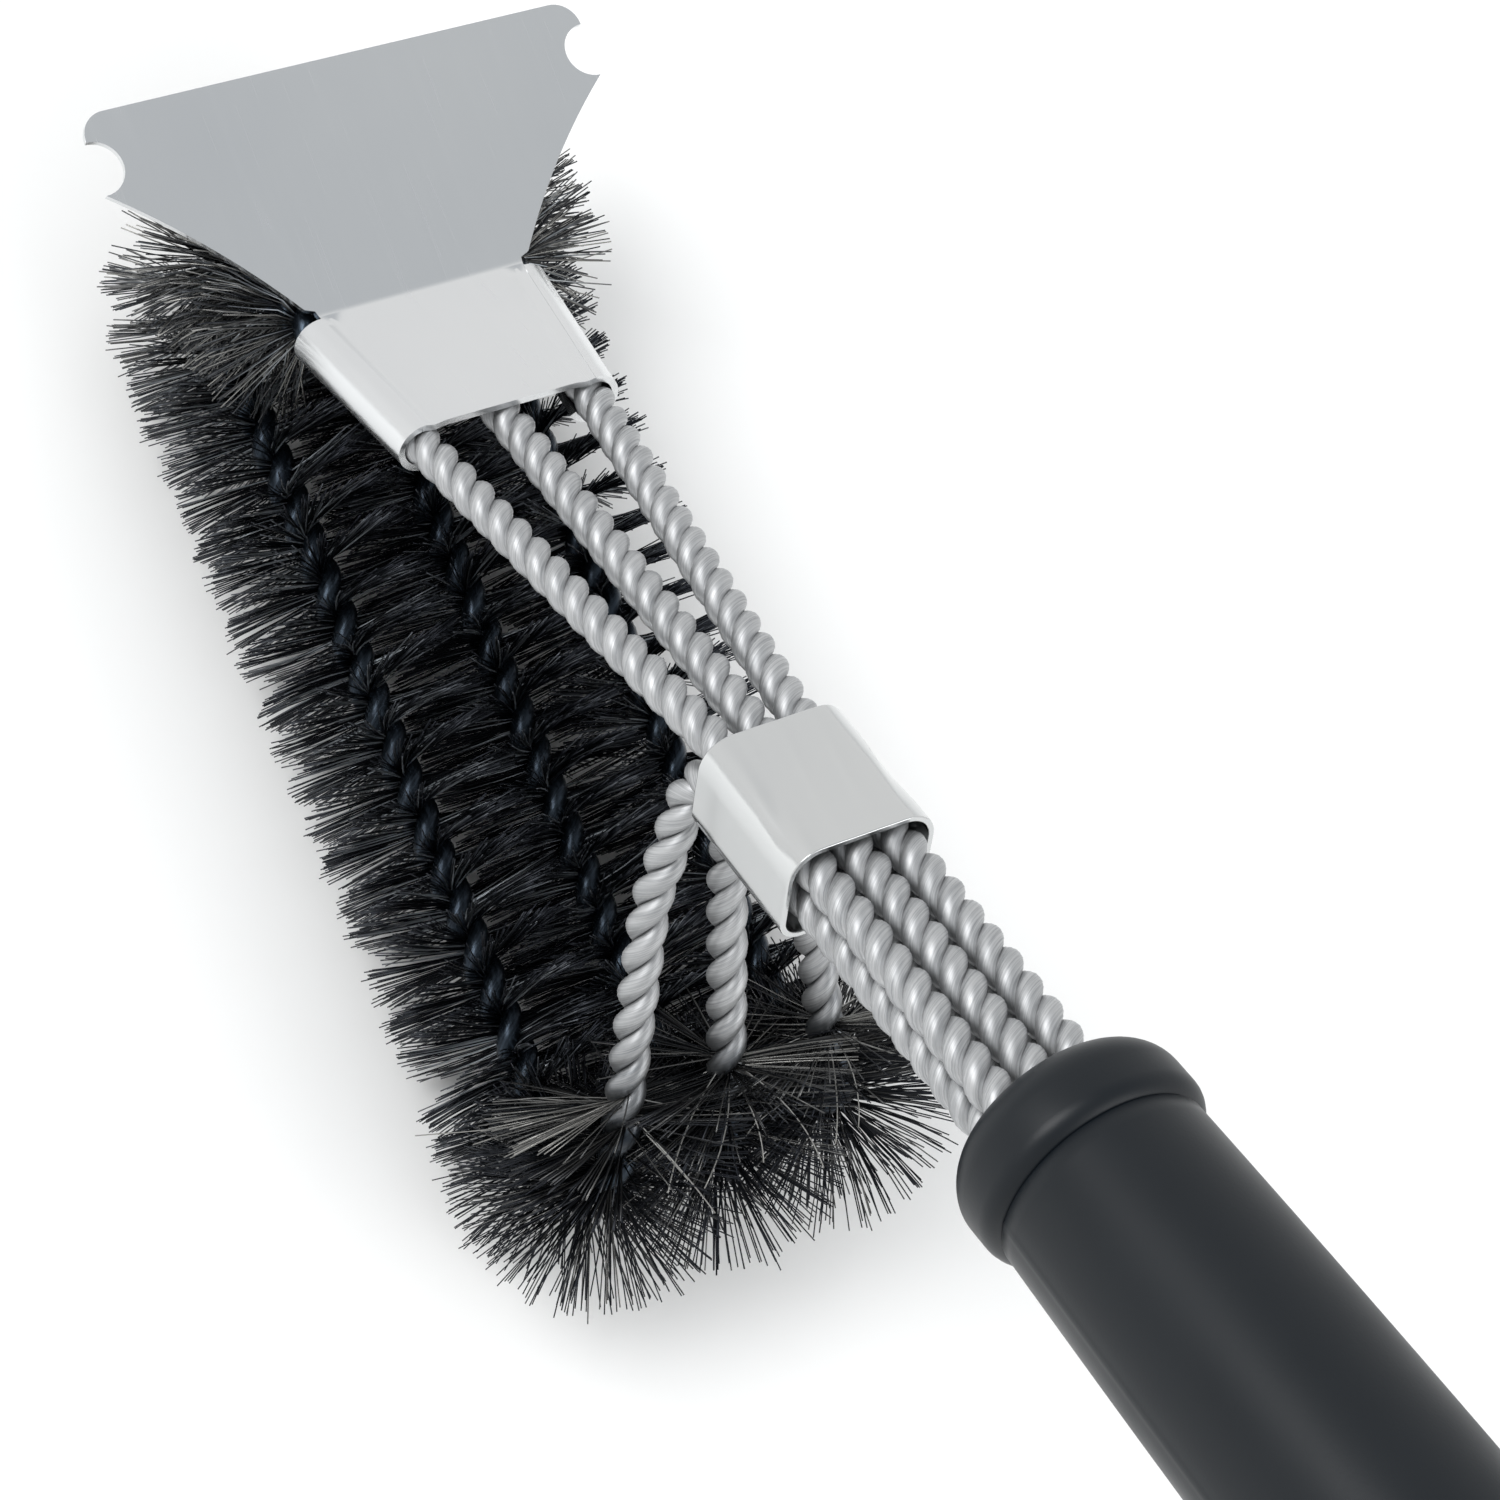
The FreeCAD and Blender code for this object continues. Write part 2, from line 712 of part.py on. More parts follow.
def make_end_cap():
    """Domed plug in the grip's end, with a tongue that carries the hanging loop."""
    body = new_body("end_cap")
    face = "-(bead_length + grip_length)"
    rear = "-(bead_length + grip_length + cap_length)"
    revolve(
        body,
        "cap_dome",
        [
            (f"{face} + cap_spigot_length", "0"),
            (f"{face} + cap_spigot_length", SPIGOT_RADIUS),
            (face, SPIGOT_RADIUS),
            (face, GRIP_END),
            (f"{rear} + cap_round", GRIP_END, "cap_round"),
            (rear, f"{GRIP_END} - cap_round"),
            (rear, "0"),
        ],
    )
    eye = f"({rear} - eye_offset)"
    tongue = new_sketch(body, "tongue_outline", "XZ_Plane")
    overlap = f"{rear} + cap_length / 2"
    draw_outline(
        tongue,
        [
            (overlap, "-tongue_radius"),
            (overlap, "tongue_radius"),
            (eye, "tongue_radius", f"tongue_radius * {TONGUE_END_EASE}"),
            (eye, "-tongue_radius"),
        ],
    )
    pad = body.newObject("PartDesign::Pad", "tongue")
    pad.Profile = tongue
    pad.Midplane = True
    pad.Length = size("tongue_width")
    pad.setExpression("Length", bound("tongue_width"))
    doc.recompute()
    bore = new_sketch(body, "loop_eye", "XZ_Plane")
    draw_circle(bore, eye, "0", "loop_wire_radius + loop_running_clearance")
    pocket(body, bore, "loop_eye_cut", both_sides=True)
    body.Placement = handle_placement()
    return [body]


def make_hang_loop():
    """Steel wire bail whose bent-in ends turn in the tongue's eye; it hangs straight down."""
    wide = size("tongue_width / 2 + loop_wire_radius + loop_side_gap")
    bow = size("loop_bow_radius")
    drop = size("loop_drop")
    end = size("loop_end_gap") / 2
    corner = size("loop_corner_radius")
    corners = [
        Vec(0, end, 0),
        Vec(0, wide, 0),
        Vec(0, bow, -drop + bow * math.tan(math.pi / 8)),
        Vec(0, bow * math.tan(math.pi / 8), -drop),
    ]
    mirrored = [Vec(0, -point.y, point.z) for point in reversed(corners)]
    radii = [corner, bow, bow, bow, bow, corner]
    path = corners + mirrored
    limits = []
    for index in range(1, len(path) - 1):
        back = path[index - 1] - path[index]
        ahead = path[index + 1] - path[index]
        half_turn = (math.pi - back.getAngle(ahead)) / 2
        share = RUN_SHARE * min(back.Length, ahead.Length) / 2
        limits.append(share / math.tan(half_turn))
    bends = [min(pair) for pair in zip(radii, limits)]
    piece = doc.addObject("Part::Feature", "hang_loop")
    piece.Label = "hang_loop"
    piece.Shape = tube(bent_path(path, bends), size("loop_wire_radius"))
    piece.Placement = FreeCAD.Placement(stem_point(EYE_ALONG, 0, HANDLE_ABOVE), FreeCAD.Rotation())
    return [piece]


# ---------------------------------------------------------------- build and write


def build():
    """Every sub-part of the brush, in the order of its assembly."""
    made = make_scraper() + make_collar()
    for name, row in SIDES.items():
        made += make_stem(name, row)
        made += make_bristle_row(name, row)
    made += make_wire_socket() + make_front_ferrule() + make_grip()
    made += make_socket_pin() + make_end_cap() + make_hang_loop()
    return made


def check(made):
    """Stops the run if any object failed or any sub-part isn't one sound solid."""
    doc.recompute()
    for item in doc.Objects:
        if "Invalid" in item.State or "Error" in item.State:
            raise ValueError(f"{item.Name} failed to build")
    for piece in made:
        shape = piece.Shape
        if shape.isNull() or not shape.isValid() or len(shape.Solids) != 1:
            raise ValueError(f"{piece.Label} isn't one valid solid")


pieces = build()
check(pieces)
os.makedirs("parts", exist_ok=True)
for piece in pieces:
    piece.Shape.exportStep(f"parts/{piece.Label}.step")
whole = FreeCAD.BoundBox()
for piece in pieces:
    whole.add(piece.Shape.optimalBoundingBox(False))
print(f"{len(pieces)} sub-parts, box {whole.XMin:.2f} {whole.XMax:.2f} {whole.YMin:.2f} "
      f"{whole.YMax:.2f} {whole.ZMin:.2f} {whole.ZMax:.2f}")
eye = stem_point(EYE_ALONG, 0, HANDLE_ABOVE)
print(f"loop eye at {eye.x:.3f} {eye.y:.3f} {eye.z:.3f}, centring shift {SHIFT:.3f}")
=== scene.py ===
"""Grill cleaning brush: the finished looks of its ropes, bristles, sheet metal and handle.

Lengths are in millimetres until a mesh is made. Places are given in two frames. The row frame
has +X towards the scraper, +Y to the left and +Z up. The stem frame is tilted with the ropes:
"along" runs towards the scraper, "side" to the left and "above" away from the bristle rows,
from the middle upper rope at the collar's front mouth.
"""
import json
import logging
import math
from collections.abc import Callable
from dataclasses import dataclass, field
from enum import Enum

import bpy
import numpy as np
from mathutils import Matrix, Vector


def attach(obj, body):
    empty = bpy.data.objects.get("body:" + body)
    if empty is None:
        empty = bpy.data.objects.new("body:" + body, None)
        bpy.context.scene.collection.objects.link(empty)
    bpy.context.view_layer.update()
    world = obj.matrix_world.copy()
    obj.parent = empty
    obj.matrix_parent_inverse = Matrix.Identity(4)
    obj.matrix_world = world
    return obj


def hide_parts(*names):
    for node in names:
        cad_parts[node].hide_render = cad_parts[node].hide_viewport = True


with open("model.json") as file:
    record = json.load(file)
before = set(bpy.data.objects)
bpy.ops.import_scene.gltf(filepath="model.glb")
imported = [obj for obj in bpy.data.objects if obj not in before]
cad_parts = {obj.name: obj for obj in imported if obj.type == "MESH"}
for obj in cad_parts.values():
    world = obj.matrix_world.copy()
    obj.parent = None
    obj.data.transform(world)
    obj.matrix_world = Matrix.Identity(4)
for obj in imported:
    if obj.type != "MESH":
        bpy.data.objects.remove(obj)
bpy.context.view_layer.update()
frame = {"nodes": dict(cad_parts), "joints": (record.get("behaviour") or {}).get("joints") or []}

log = logging.getLogger("grill_brush")

MM = 0.001
BRUSH = "brush"
LEFTWARD = np.array([0.0, 1.0, 0.0])
DOWNWARD = np.array([0.0, 0.0, -1.0])
QUARTER = math.pi / 2
FULL = 2 * math.pi

# A sheet's edges that turn by more than this are rounded, the ends of its bends are not.
SHEET_EDGE = math.radians(50)

# The inputs and the output of a colour Mix node, by number.
SHARE, FIRST, SECOND, MIXED = 0, 6, 7, 2


class Row(Enum):
    """The three stems and bristle rows, by how many row spacings they stand to the left."""

    LEFT = 1
    CENTRE = 0
    RIGHT = -1

    @property
    def label(self) -> str:
        """The row's name in the names of its pieces."""
        return self.name.lower()


class Run(Enum):
    """The runs of one stem, from the handle's upper rope round to its lower rope."""

    UPPER = "upper_run"
    NOSE = "nose_bend"
    CORE = "row_core"
    RISER = "riser"
    LOWER = "lower_run"


# ------------------------------------------------------------------ vectors


def unit(vectors: np.ndarray) -> np.ndarray:
    """The same directions, each with a length of one."""
    return vectors / np.linalg.norm(vectors, axis=-1, keepdims=True)


def circle(count: int) -> np.ndarray:
    """Even angles round a full turn."""
    return np.linspace(0, FULL, count, endpoint=False)


def swung(angle: np.ndarray, first: np.ndarray, second: np.ndarray) -> np.ndarray:
    """Unit vectors turned by angles from one direction towards another."""
    turn = angle[..., None]
    return np.cos(turn) * first + np.sin(turn) * second


def half_turn(before: np.ndarray, corner: np.ndarray, after: np.ndarray) -> float:
    """Half the angle by which a line turns at a corner."""
    straightness = unit(before - corner) @ unit(after - corner)
    return (math.pi - math.acos(np.clip(straightness, -1, 1))) / 2


# ------------------------------------------------------------------ meshes and nodes


def linear(code: str, alpha: float = 1.0) -> tuple[float, float, float, float]:
    """Turns an sRGB hex colour into the linear colour that shaders use.

    Args:
        code: The colour as "#rrggbb".
        alpha: The fourth value.

    Returns:
        Red, green, blue and alpha.
    """
    parts = [int(code[place : place + 2], 16) / 255 for place in (1, 3, 5)]
    red, green, blue = (
        part / 12.92 if part <= 0.04045 else ((part + 0.055) / 1.055) ** 2.4 for part in parts
    )
    return red, green, blue, alpha


def scale_for(size: float) -> float:
    """The texture scale, in features for each metre, of features of a size in millimetres."""
    return 1 / (size * MM)


def add_node(
    tree: bpy.types.NodeTree,
    kind: str,
    inputs: dict[str | int, object] | None = None,
    out: str | int = 0,
    **settings: object,
) -> bpy.types.NodeSocket | None:
    """Adds one node with its settings, values and links.

    Args:
        tree: The node tree that gets the node.
        kind: The node's type name after "ShaderNode".
        inputs: A value, or the output socket to link, for each input by name or number.
        out: The name or number of the output that is handed back.
        settings: The node's own properties.

    Returns:
        That output socket, or None for a node that has no outputs.
    """
    node = tree.nodes.new("ShaderNode" + kind)
    for name, value in settings.items():
        setattr(node, name, value)
    for key, value in (inputs or {}).items():
        if isinstance(value, bpy.types.NodeSocket):
            tree.links.new(value, node.inputs[key])
        else:
            node.inputs[key].default_value = value
    return node.outputs[out] if node.outputs else None


def new_piece(
    name: str, points: np.ndarray, quads: np.ndarray, caps: list[list[int]] | None = None
) -> bpy.types.Object:
    """Makes a mesh object from arrays.

    Args:
        name: The piece's name.
        points: Vertex places in millimetres, one row each.
        quads: Vertex numbers of the four-sided faces, one row each.
        caps: Vertex numbers of further faces with any number of corners.

    Returns:
        The object, in the scene's collection.
    """
    caps = caps or []
    loops = np.concatenate([quads.ravel(), *[np.array(cap) for cap in caps]]).astype(np.int32)
    totals = np.array([4] * len(quads) + [len(cap) for cap in caps])
    starts = np.concatenate([[0], np.cumsum(totals)[:-1]]).astype(np.int32)
    mesh = bpy.data.meshes.new(name)
    mesh.vertices.add(len(points))
    mesh.vertices.foreach_set("co", (points * MM).astype(np.float32).ravel())
    mesh.loops.add(len(loops))
    mesh.loops.foreach_set("vertex_index", loops)
    mesh.polygons.add(len(totals))
    mesh.polygons.foreach_set("loop_start", starts)
    mesh.update(calc_edges=True)
    mesh.validate()
    mesh.shade_smooth()
    piece = bpy.data.objects.new(name, mesh)
    bpy.context.scene.collection.objects.link(piece)
    return piece


def set_attribute(piece: bpy.types.Object, name: str, values: np.ndarray) -> None:
    """Stores values for the materials to read.

    Args:
        piece: The piece whose mesh gets them.
        name: The attribute's name.
        values: One number or one vector for each vertex.
    """
    kind, key = ("FLOAT", "value") if values.ndim == 1 else ("FLOAT_VECTOR", "vector")
    made = piece.data.attributes.new(name, kind, "POINT")
    made.data.foreach_set(key, values.astype(np.float32).ravel())


def grid_quads(rows: int, columns: int, closed: bool, first: int = 0) -> np.ndarray:
    """Faces of a grid of vertices stored row by row.

    Args:
        rows: How many rows there are.
        columns: How many vertices a row has.
        closed: Whether each row closes on itself.
        first: The number of the grid's first vertex.

    Returns:
        One row of four vertex numbers for each face.
    """
    across = np.arange(columns if closed else columns - 1)
    down = np.arange(rows - 1)[:, None] * columns
    here, beside = down + across, down + (across + 1) % columns
    faces = np.stack([here, beside, beside + columns, here + columns], axis=-1)
    return faces.reshape(-1, 4) + first


def sharpen(piece: bpy.types.Object, degrees: float) -> None:
    """Keeps the edges that turn by more than an angle crisp."""
    piece.data.set_sharp_from_angle(angle=math.radians(degrees))


def thicken(piece: bpy.types.Object, thickness: float, rounding: float, even: bool) -> None:
    """Gives a sheet its thickness inwards from its outer face and rounds its edges.

    Args:
        piece: The sheet.
        thickness: Its thickness.
        rounding: Width of the rounding that deburring leaves.
        even: Whether the thickness is kept even where the sheet bends sharply.
    """
    solid = piece.modifiers.new("sheet_thickness", "SOLIDIFY")
    solid.thickness, solid.offset, solid.use_even_offset = thickness * MM, -1.0, even
    edge = piece.modifiers.new("deburred_edge", "BEVEL")
    edge.width, edge.segments = rounding * MM, 2
    edge.limit_method, edge.angle_limit = "ANGLE", SHEET_EDGE
    edge.harden_normals = True


# ------------------------------------------------------------------ places


@dataclass(frozen=True)
class Datum:
    """Places in the row frame and the stem frame, tied to the loop's hinge in the frame.

    Attributes:
        slope: How far the stems tilt down towards the scraper, in radians.
        bare_length: Length of bare ropes between the collar's mouth and the handle.
        handle_length: Length of the handle without the tongue of its end cap.
        eye_offset: How far the loop's eye stands behind the handle.
        layer_spacing: Distance between the upper and lower ropes' middles.
        row_height: Height of the rows' cores above the ground.
        row_spacing: Distance between two rows' cores.
        rope_spacing: Distance between neighbouring upper ropes behind the collar.
        fan_start: Where the outer upper ropes start to spread.
        fan_spread: How far they spread for each millimetre along.
    """

    slope: float = math.radians(29.7)
    bare_length: float = 68.6
    handle_length: float = 241.5
    eye_offset: float = 11.0
    layer_spacing: float = 6.1
    row_height: float = 16.0
    row_spacing: float = 20.7
    rope_spacing: float = 6.4
    fan_start: float = 3.0
    fan_spread: float = 0.1057

    @property
    def ahead(self) -> np.ndarray:
        """Unit vector along the stems towards the scraper."""
        return np.array([math.cos(self.slope), 0.0, -math.sin(self.slope)])

    @property
    def upward(self) -> np.ndarray:
        """Unit vector away from the rows, square to the stems."""
        return np.array([math.sin(self.slope), 0.0, math.cos(self.slope)])

    @property
    def origin(self) -> np.ndarray:
        """The stem frame's origin, worked out from the hanging loop's hinge.

        Returns:
            The place in millimetres of the shared frame.
        """
        hinge = np.array(frame["joints"][0]["pos_m"]) / MM
        reach = self.bare_length + self.handle_length + self.eye_offset
        return hinge + reach * self.ahead + self.layer_spacing / 2 * self.upward

    def placed(self, local: np.ndarray) -> np.ndarray:
        """Places in the shared frame of rows of along, side and above."""
        return self.origin + local @ np.stack([self.ahead, LEFTWARD, self.upward])

    def stem(self, along: float, side: float, above: float) -> np.ndarray:
        """A place in the stem frame, in millimetres of the shared frame."""
        return self.placed(np.array([along, side, above]))

    def row(self, forward: float, row: int) -> np.ndarray:
        """A place on a row's core, given ahead of the collar's mouth."""
        return np.array([self.origin[0] + forward, row * self.row_spacing, self.row_height])

    def fan(self, along: float) -> float:
        """How far the outer upper ropes' middles stand to the side at a station."""
        return self.rope_spacing + self.fan_spread * (along - self.fan_start)


DATUM = Datum()


@dataclass
class Route:
    """A smooth path sampled at even steps, with a frame that doesn't twist about it.

    Attributes:
        points: Places along the path, one row each.
        reach: Distance from the start of each place.
        tangent: Unit vector along the path at each place.
        normal: Unit vector square to the path.
        binormal: The third unit vector.
        marks: Distance at which each straight or bent stretch ends.
    """

    points: np.ndarray
    reach: np.ndarray
    tangent: np.ndarray
    normal: np.ndarray
    binormal: np.ndarray
    marks: list[float]

    @classmethod
    def through(cls, corners: list[np.ndarray], radii: list[float], step: float) -> "Route":
        """Rounds the corners of a line of straight runs and samples it.

        Args:
            corners: The ends of the straight runs.
            radii: The bend radius at each inner corner.
            step: The distance between two samples.

        Returns:
            The sampled route.
        """
        pieces, marks, start = [], [], corners[0]
        for before, corner, after, radius in zip(corners, corners[1:], corners[2:], radii):
            back, on = unit(before - corner), unit(after - corner)
            half = half_turn(before, corner, after)
            tangent = radius * math.tan(half)
            enter, leave = corner + back * tangent, corner + on * tangent
            centre = corner + unit(back + on) * radius / math.cos(half)
            pieces.append(cls.straight(start, enter, step))
            pieces.append(cls.arc(centre, enter, leave, 2 * half, step))
            start = leave
        pieces.append(cls.straight(start, corners[-1], step))
        for piece in pieces:
            before = marks[-1] if marks else 0.0
            marks.append(before + float(np.linalg.norm(np.diff(piece, axis=0), axis=1).sum()))
        fine = np.concatenate([pieces[0], *[piece[1:] for piece in pieces[1:]]])
        lengths = np.linalg.norm(np.diff(fine, axis=0), axis=1)
        distance = np.concatenate([[0.0], np.cumsum(lengths)])
        reach = np.linspace(0.0, distance[-1], round(distance[-1] / step) + 1)
        points = np.stack([np.interp(reach, distance, fine[:, axis]) for axis in range(3)], 1)
        return cls.framed(points, reach, marks)

    @staticmethod
    def straight(start: np.ndarray, end: np.ndarray, step: float) -> np.ndarray:
        """Places on a straight run."""
        count = max(2, round(float(np.linalg.norm(end - start)) / step))
        return np.linspace(start, end, count)

    @staticmethod
    def arc(
        centre: np.ndarray, enter: np.ndarray, leave: np.ndarray, angle: float, step: float
    ) -> np.ndarray:
        """Places on an arc.

        Args:
            centre: The arc's centre.
            enter: Where the arc starts.
            leave: Where it ends.
            angle: How far it turns.
            step: The distance between two places.

        Returns:
            The places, one row each.
        """
        first, last = enter - centre, leave - centre
        count = max(3, round(float(np.linalg.norm(first)) * angle / step))
        share = np.linspace(0.0, 1.0, count)[:, None]
        spread = np.sin((1 - share) * angle) * first + np.sin(share * angle) * last
        return centre + spread / math.sin(angle)

    @classmethod
    def framed(cls, points: np.ndarray, reach: np.ndarray, marks: list[float]) -> "Route":
        """Carries a frame along the places without twisting it.

        Args:
            points: The places, one row each.
            reach: Distance from the start of each place.
            marks: Distance at which each stretch ends.

        Returns:
            The route with its frame.
        """
        tangent = unit(np.gradient(points, axis=0))
        normal = np.zeros_like(points)
        carried = LEFTWARD
        for index, direction in enumerate(tangent):
            carried = unit(carried - (carried @ direction) * direction)
            normal[index] = carried
        return cls(points, reach, tangent, normal, np.cross(tangent, normal), marks)

    def at(self, distance: np.ndarray) -> tuple[np.ndarray, ...]:
        """Reads the route at some distances from its start.

        Args:
            distance: The distances.

        Returns:
            The places, tangents, normals and binormals.
        """
        return tuple(
            np.stack([np.interp(distance, self.reach, part[:, axis]) for axis in range(3)], -1)
            for part in (self.points, self.tangent, self.normal, self.binormal)
        )


# ------------------------------------------------------------------ finishes


class Finish:
    """A surface finish that makes its material once and lends it to every piece."""

    name = "finish"

    def material(self) -> bpy.types.Material:
        """Finds the finish's material, or makes it the first time.

        Returns:
            The material.
        """
        made = bpy.data.materials.get(self.name)
        if made is None:
            made = bpy.data.materials.new(self.name)
            made.use_nodes = True
            tree = made.node_tree
            tree.nodes.clear()
            shader = add_node(tree, "BsdfPrincipled", self.lay(tree))
            add_node(tree, "OutputMaterial", {"Surface": shader})
        return made

    def lay(self, tree: bpy.types.NodeTree) -> dict[str | int, object]:
        """Wires the patterns and says what each of the shader's inputs gets."""
        raise NotImplementedError


@dataclass(frozen=True)
class StainlessSheet(Finish):
    """430 stainless steel sheet, cold rolled and bright annealed, then bent and pressed.

    The eye sees a smooth satin grey with a faint rolling grain, soft cloudy reflections and
    a few hairline scuffs from handling. The cloudy reflections are painted into the colour as
    greyer clouds. The real grain is finer than it is drawn.
    """

    name: str = "stainless_sheet_bright_annealed"
    steel: str = "#e2e3e3"
    # The greyer colour of the painted reflection clouds.
    cloud: str = "#d6d8da"
    roughness: float = 0.24
    roughness_spread: float = 0.035
    cloud_size: float = 38.0
    grain_width: float = 0.35
    grain_length: float = 18.0
    grain_height: float = 0.0025
    grain_strength: float = 0.6
    wave_size: float = 30.0
    wave_height: float = 0.10
    scuff_spacing: float = 3.2
    scuff_width: float = 0.03
    scuff_dulling: float = 0.5
    bright_below: float = 0.2
    dull_above: float = 1.1

    def lay(self, tree: bpy.types.NodeTree) -> dict[str | int, object]:
        """Wires the rolling grain, the painted reflection clouds in the colour and the scuffs.

        Args:
            tree: The material's node tree.

        Returns:
            What each of the shader's inputs gets.
        """
        place = add_node(tree, "TexCoord", out="Object")
        clouds, wave = (
            add_node(tree, "TexNoise", {"Vector": place, "Scale": scale_for(size), "Detail": fine})
            for size, fine in ((self.cloud_size, 3.0), (self.wave_size, 1.0))
        )
        across, down = scale_for(self.grain_width), scale_for(self.grain_length)
        stretched = add_node(tree, "Mapping", {"Vector": place, "Scale": (down, across, down)})
        grain = add_node(tree, "TexNoise", {"Vector": stretched, "Scale": 1.0, "Detail": 2.0})
        scuffs = add_node(
            tree,
            "TexVoronoi",
            {"Vector": stretched, "Scale": self.grain_width / self.scuff_spacing},
            "Distance",
            feature="DISTANCE_TO_EDGE",
        )
        edge = {"From Min": 0.0, "From Max": self.scuff_width}
        dulling = {"To Min": self.scuff_dulling, "To Max": 0.0}
        scuffed = add_node(tree, "MapRange", {"Value": scuffs, **edge, **dulling})
        # Painted reflection: noise clouds mix the steel towards the greyer cloud colour.
        colours = {FIRST: linear(self.steel), SECOND: linear(self.cloud)}
        tint = add_node(tree, "Mix", {SHARE: clouds, **colours}, MIXED, data_type="RGBA")
        dull = add_node(tree, "Math", {0: grain, 1: scuffed}, operation="ADD")
        rough = add_node(
            tree,
            "MapRange",
            {
                "Value": dull,
                "From Min": self.bright_below,
                "From Max": self.dull_above,
                "To Min": self.roughness - self.roughness_spread,
                "To Max": self.roughness + self.roughness_spread,
            },
        )
        slow = add_node(
            tree, "Bump", {"Height": wave, "Distance": self.wave_height * MM, "Strength": 1.0}
        )
        fine = {"Height": grain, "Distance": self.grain_height * MM, "Normal": slow}
        bump = add_node(tree, "Bump", {**fine, "Strength": self.grain_strength})
        return {"Base Color": tint, "Roughness": rough, "Normal": bump, "Metallic": 1.0}


@dataclass(frozen=True)
class DrawnWire(Finish):
    """Drawn steel wire, galvanised, and blackened where a bristle row grips it.

    The eye sees matt light grey strands with fine draw lines along them and dark crevices
    where two strands meet, whose darkness is painted shade on the strands' inner sides.
    Towards the rows the grey turns to a blue-black oxide, whose streaks along the draw lines
    are painted lighter as glints. The real draw lines are finer than they are drawn.
    """

    name: str = "galvanised_drawn_wire"
    zinc: str = "#bebfc0"
    zinc_dull: str = "#96989a"
    # Painted shade: the colour that the strands darken to on their inner sides, where they meet.
    crevice_shade: str = "#17191a"
    oxide: str = "#1d232b"
    # The oxide's streaks along the draw lines are painted lighter in this colour, as painted
    # glints.
    oxide_streak_glint: str = "#3a444e"
    roughness: float = 0.52
    oxide_roughness: float = 0.26
    roughness_spread: float = 0.25
    line_width: float = 0.22
    line_length: float = 7.0
    line_height: float = 0.03
    line_strength: float = 0.7
    streak_start: float = 0.38
    streak_full: float = 0.7
    blotch_size: float = 5.0
    blotch_push: float = 0.7
    turn_start: float = 0.15
    turn_full: float = 0.85
    # Where on a strand's side the painted shade is full and where it ends, and how strong it is.
    crevice_shade_floor: float = -0.5
    crevice_shade_rim: float = 0.12
    crevice_shade_darkness: float = 0.97
    metal: float = 0.85

    def lay(self, tree: bpy.types.NodeTree) -> dict[str | int, object]:
        """Wires the draw lines, the painted shade in the crevices, the painted glints on the oxide
        and the change to oxide.

        Args:
            tree: The material's node tree.

        Returns:
            What each of the shader's inputs gets.
        """
        strand = add_node(tree, "Attribute", out="Vector", attribute_name="strand_place")
        depth, patina = (
            add_node(tree, "Attribute", out="Fac", attribute_name=name)
            for name in ("strand_facing", "strand_patina")
        )
        fine = 1 / self.line_width
        drawn = add_node(
            tree, "Mapping", {"Vector": strand, "Scale": (fine, fine, 1 / self.line_length)}
        )
        lines = add_node(
            tree, "TexNoise", {"Vector": drawn, "Scale": 1.0, "Detail": 3.0, "Roughness": 0.6}
        )
        blotches = add_node(
            tree, "TexNoise", {"Vector": strand, "Scale": 1 / self.blotch_size, "Detail": 3.0}
        )
        streaked = {"From Min": self.streak_start, "From Max": self.streak_full}
        streaks = add_node(tree, "MapRange", {"Value": lines, **streaked})
        zinc = {FIRST: linear(self.zinc), SECOND: linear(self.zinc_dull)}
        # Painted glints: the oxide's streaks along the draw lines take the lighter colour.
        oxide = {FIRST: linear(self.oxide), SECOND: linear(self.oxide_streak_glint)}
        bare_zinc_and_painted_glint, black = (
            add_node(tree, "Mix", {SHARE: streaks, **colours}, MIXED, data_type="RGBA")
            for colours in (zinc, oxide)
        )
        uneven = add_node(tree, "Math", {0: blotches, 1: 0.5}, operation="SUBTRACT")
        pushed = {0: uneven, 1: self.blotch_push, 2: patina}
        edge = add_node(tree, "Math", pushed, operation="MULTIPLY_ADD")
        turning = {"Value": edge, "From Min": self.turn_start, "From Max": self.turn_full}
        turned = add_node(tree, "MapRange", turning, interpolation_type="SMOOTHSTEP")
        coat = add_node(
            tree, "Mix", {SHARE: turned, FIRST: bare_zinc_and_painted_glint, SECOND: black}, MIXED, data_type="RGBA"
        )
        # Painted shade: the strands' inner sides, where two strands meet, darken towards the
        # crevice colour.
        sunken = {"Value": depth, "From Min": self.crevice_shade_floor, "From Max": self.crevice_shade_rim}
        darkness = {"To Min": self.crevice_shade_darkness, "To Max": 0.0}
        shade = add_node(
            tree, "MapRange", {**sunken, **darkness}, interpolation_type="SMOOTHSTEP"
        )
        shaded = {SHARE: shade, FIRST: coat, SECOND: linear(self.crevice_shade)}
        colour = add_node(tree, "Mix", shaded, MIXED, data_type="RGBA")
        gloss = {"To Min": self.roughness, "To Max": self.oxide_roughness}
        base = add_node(tree, "MapRange", {"Value": turned, **gloss})
        varied = {0: uneven, 1: self.roughness_spread, 2: base}
        rough = add_node(tree, "Math", varied, operation="MULTIPLY_ADD")
        grooved = {"Height": lines, "Distance": self.line_height * MM}
        bump = add_node(tree, "Bump", {**grooved, "Strength": self.line_strength})
        return {"Base Color": colour, "Roughness": rough, "Normal": bump, "Metallic": self.metal}


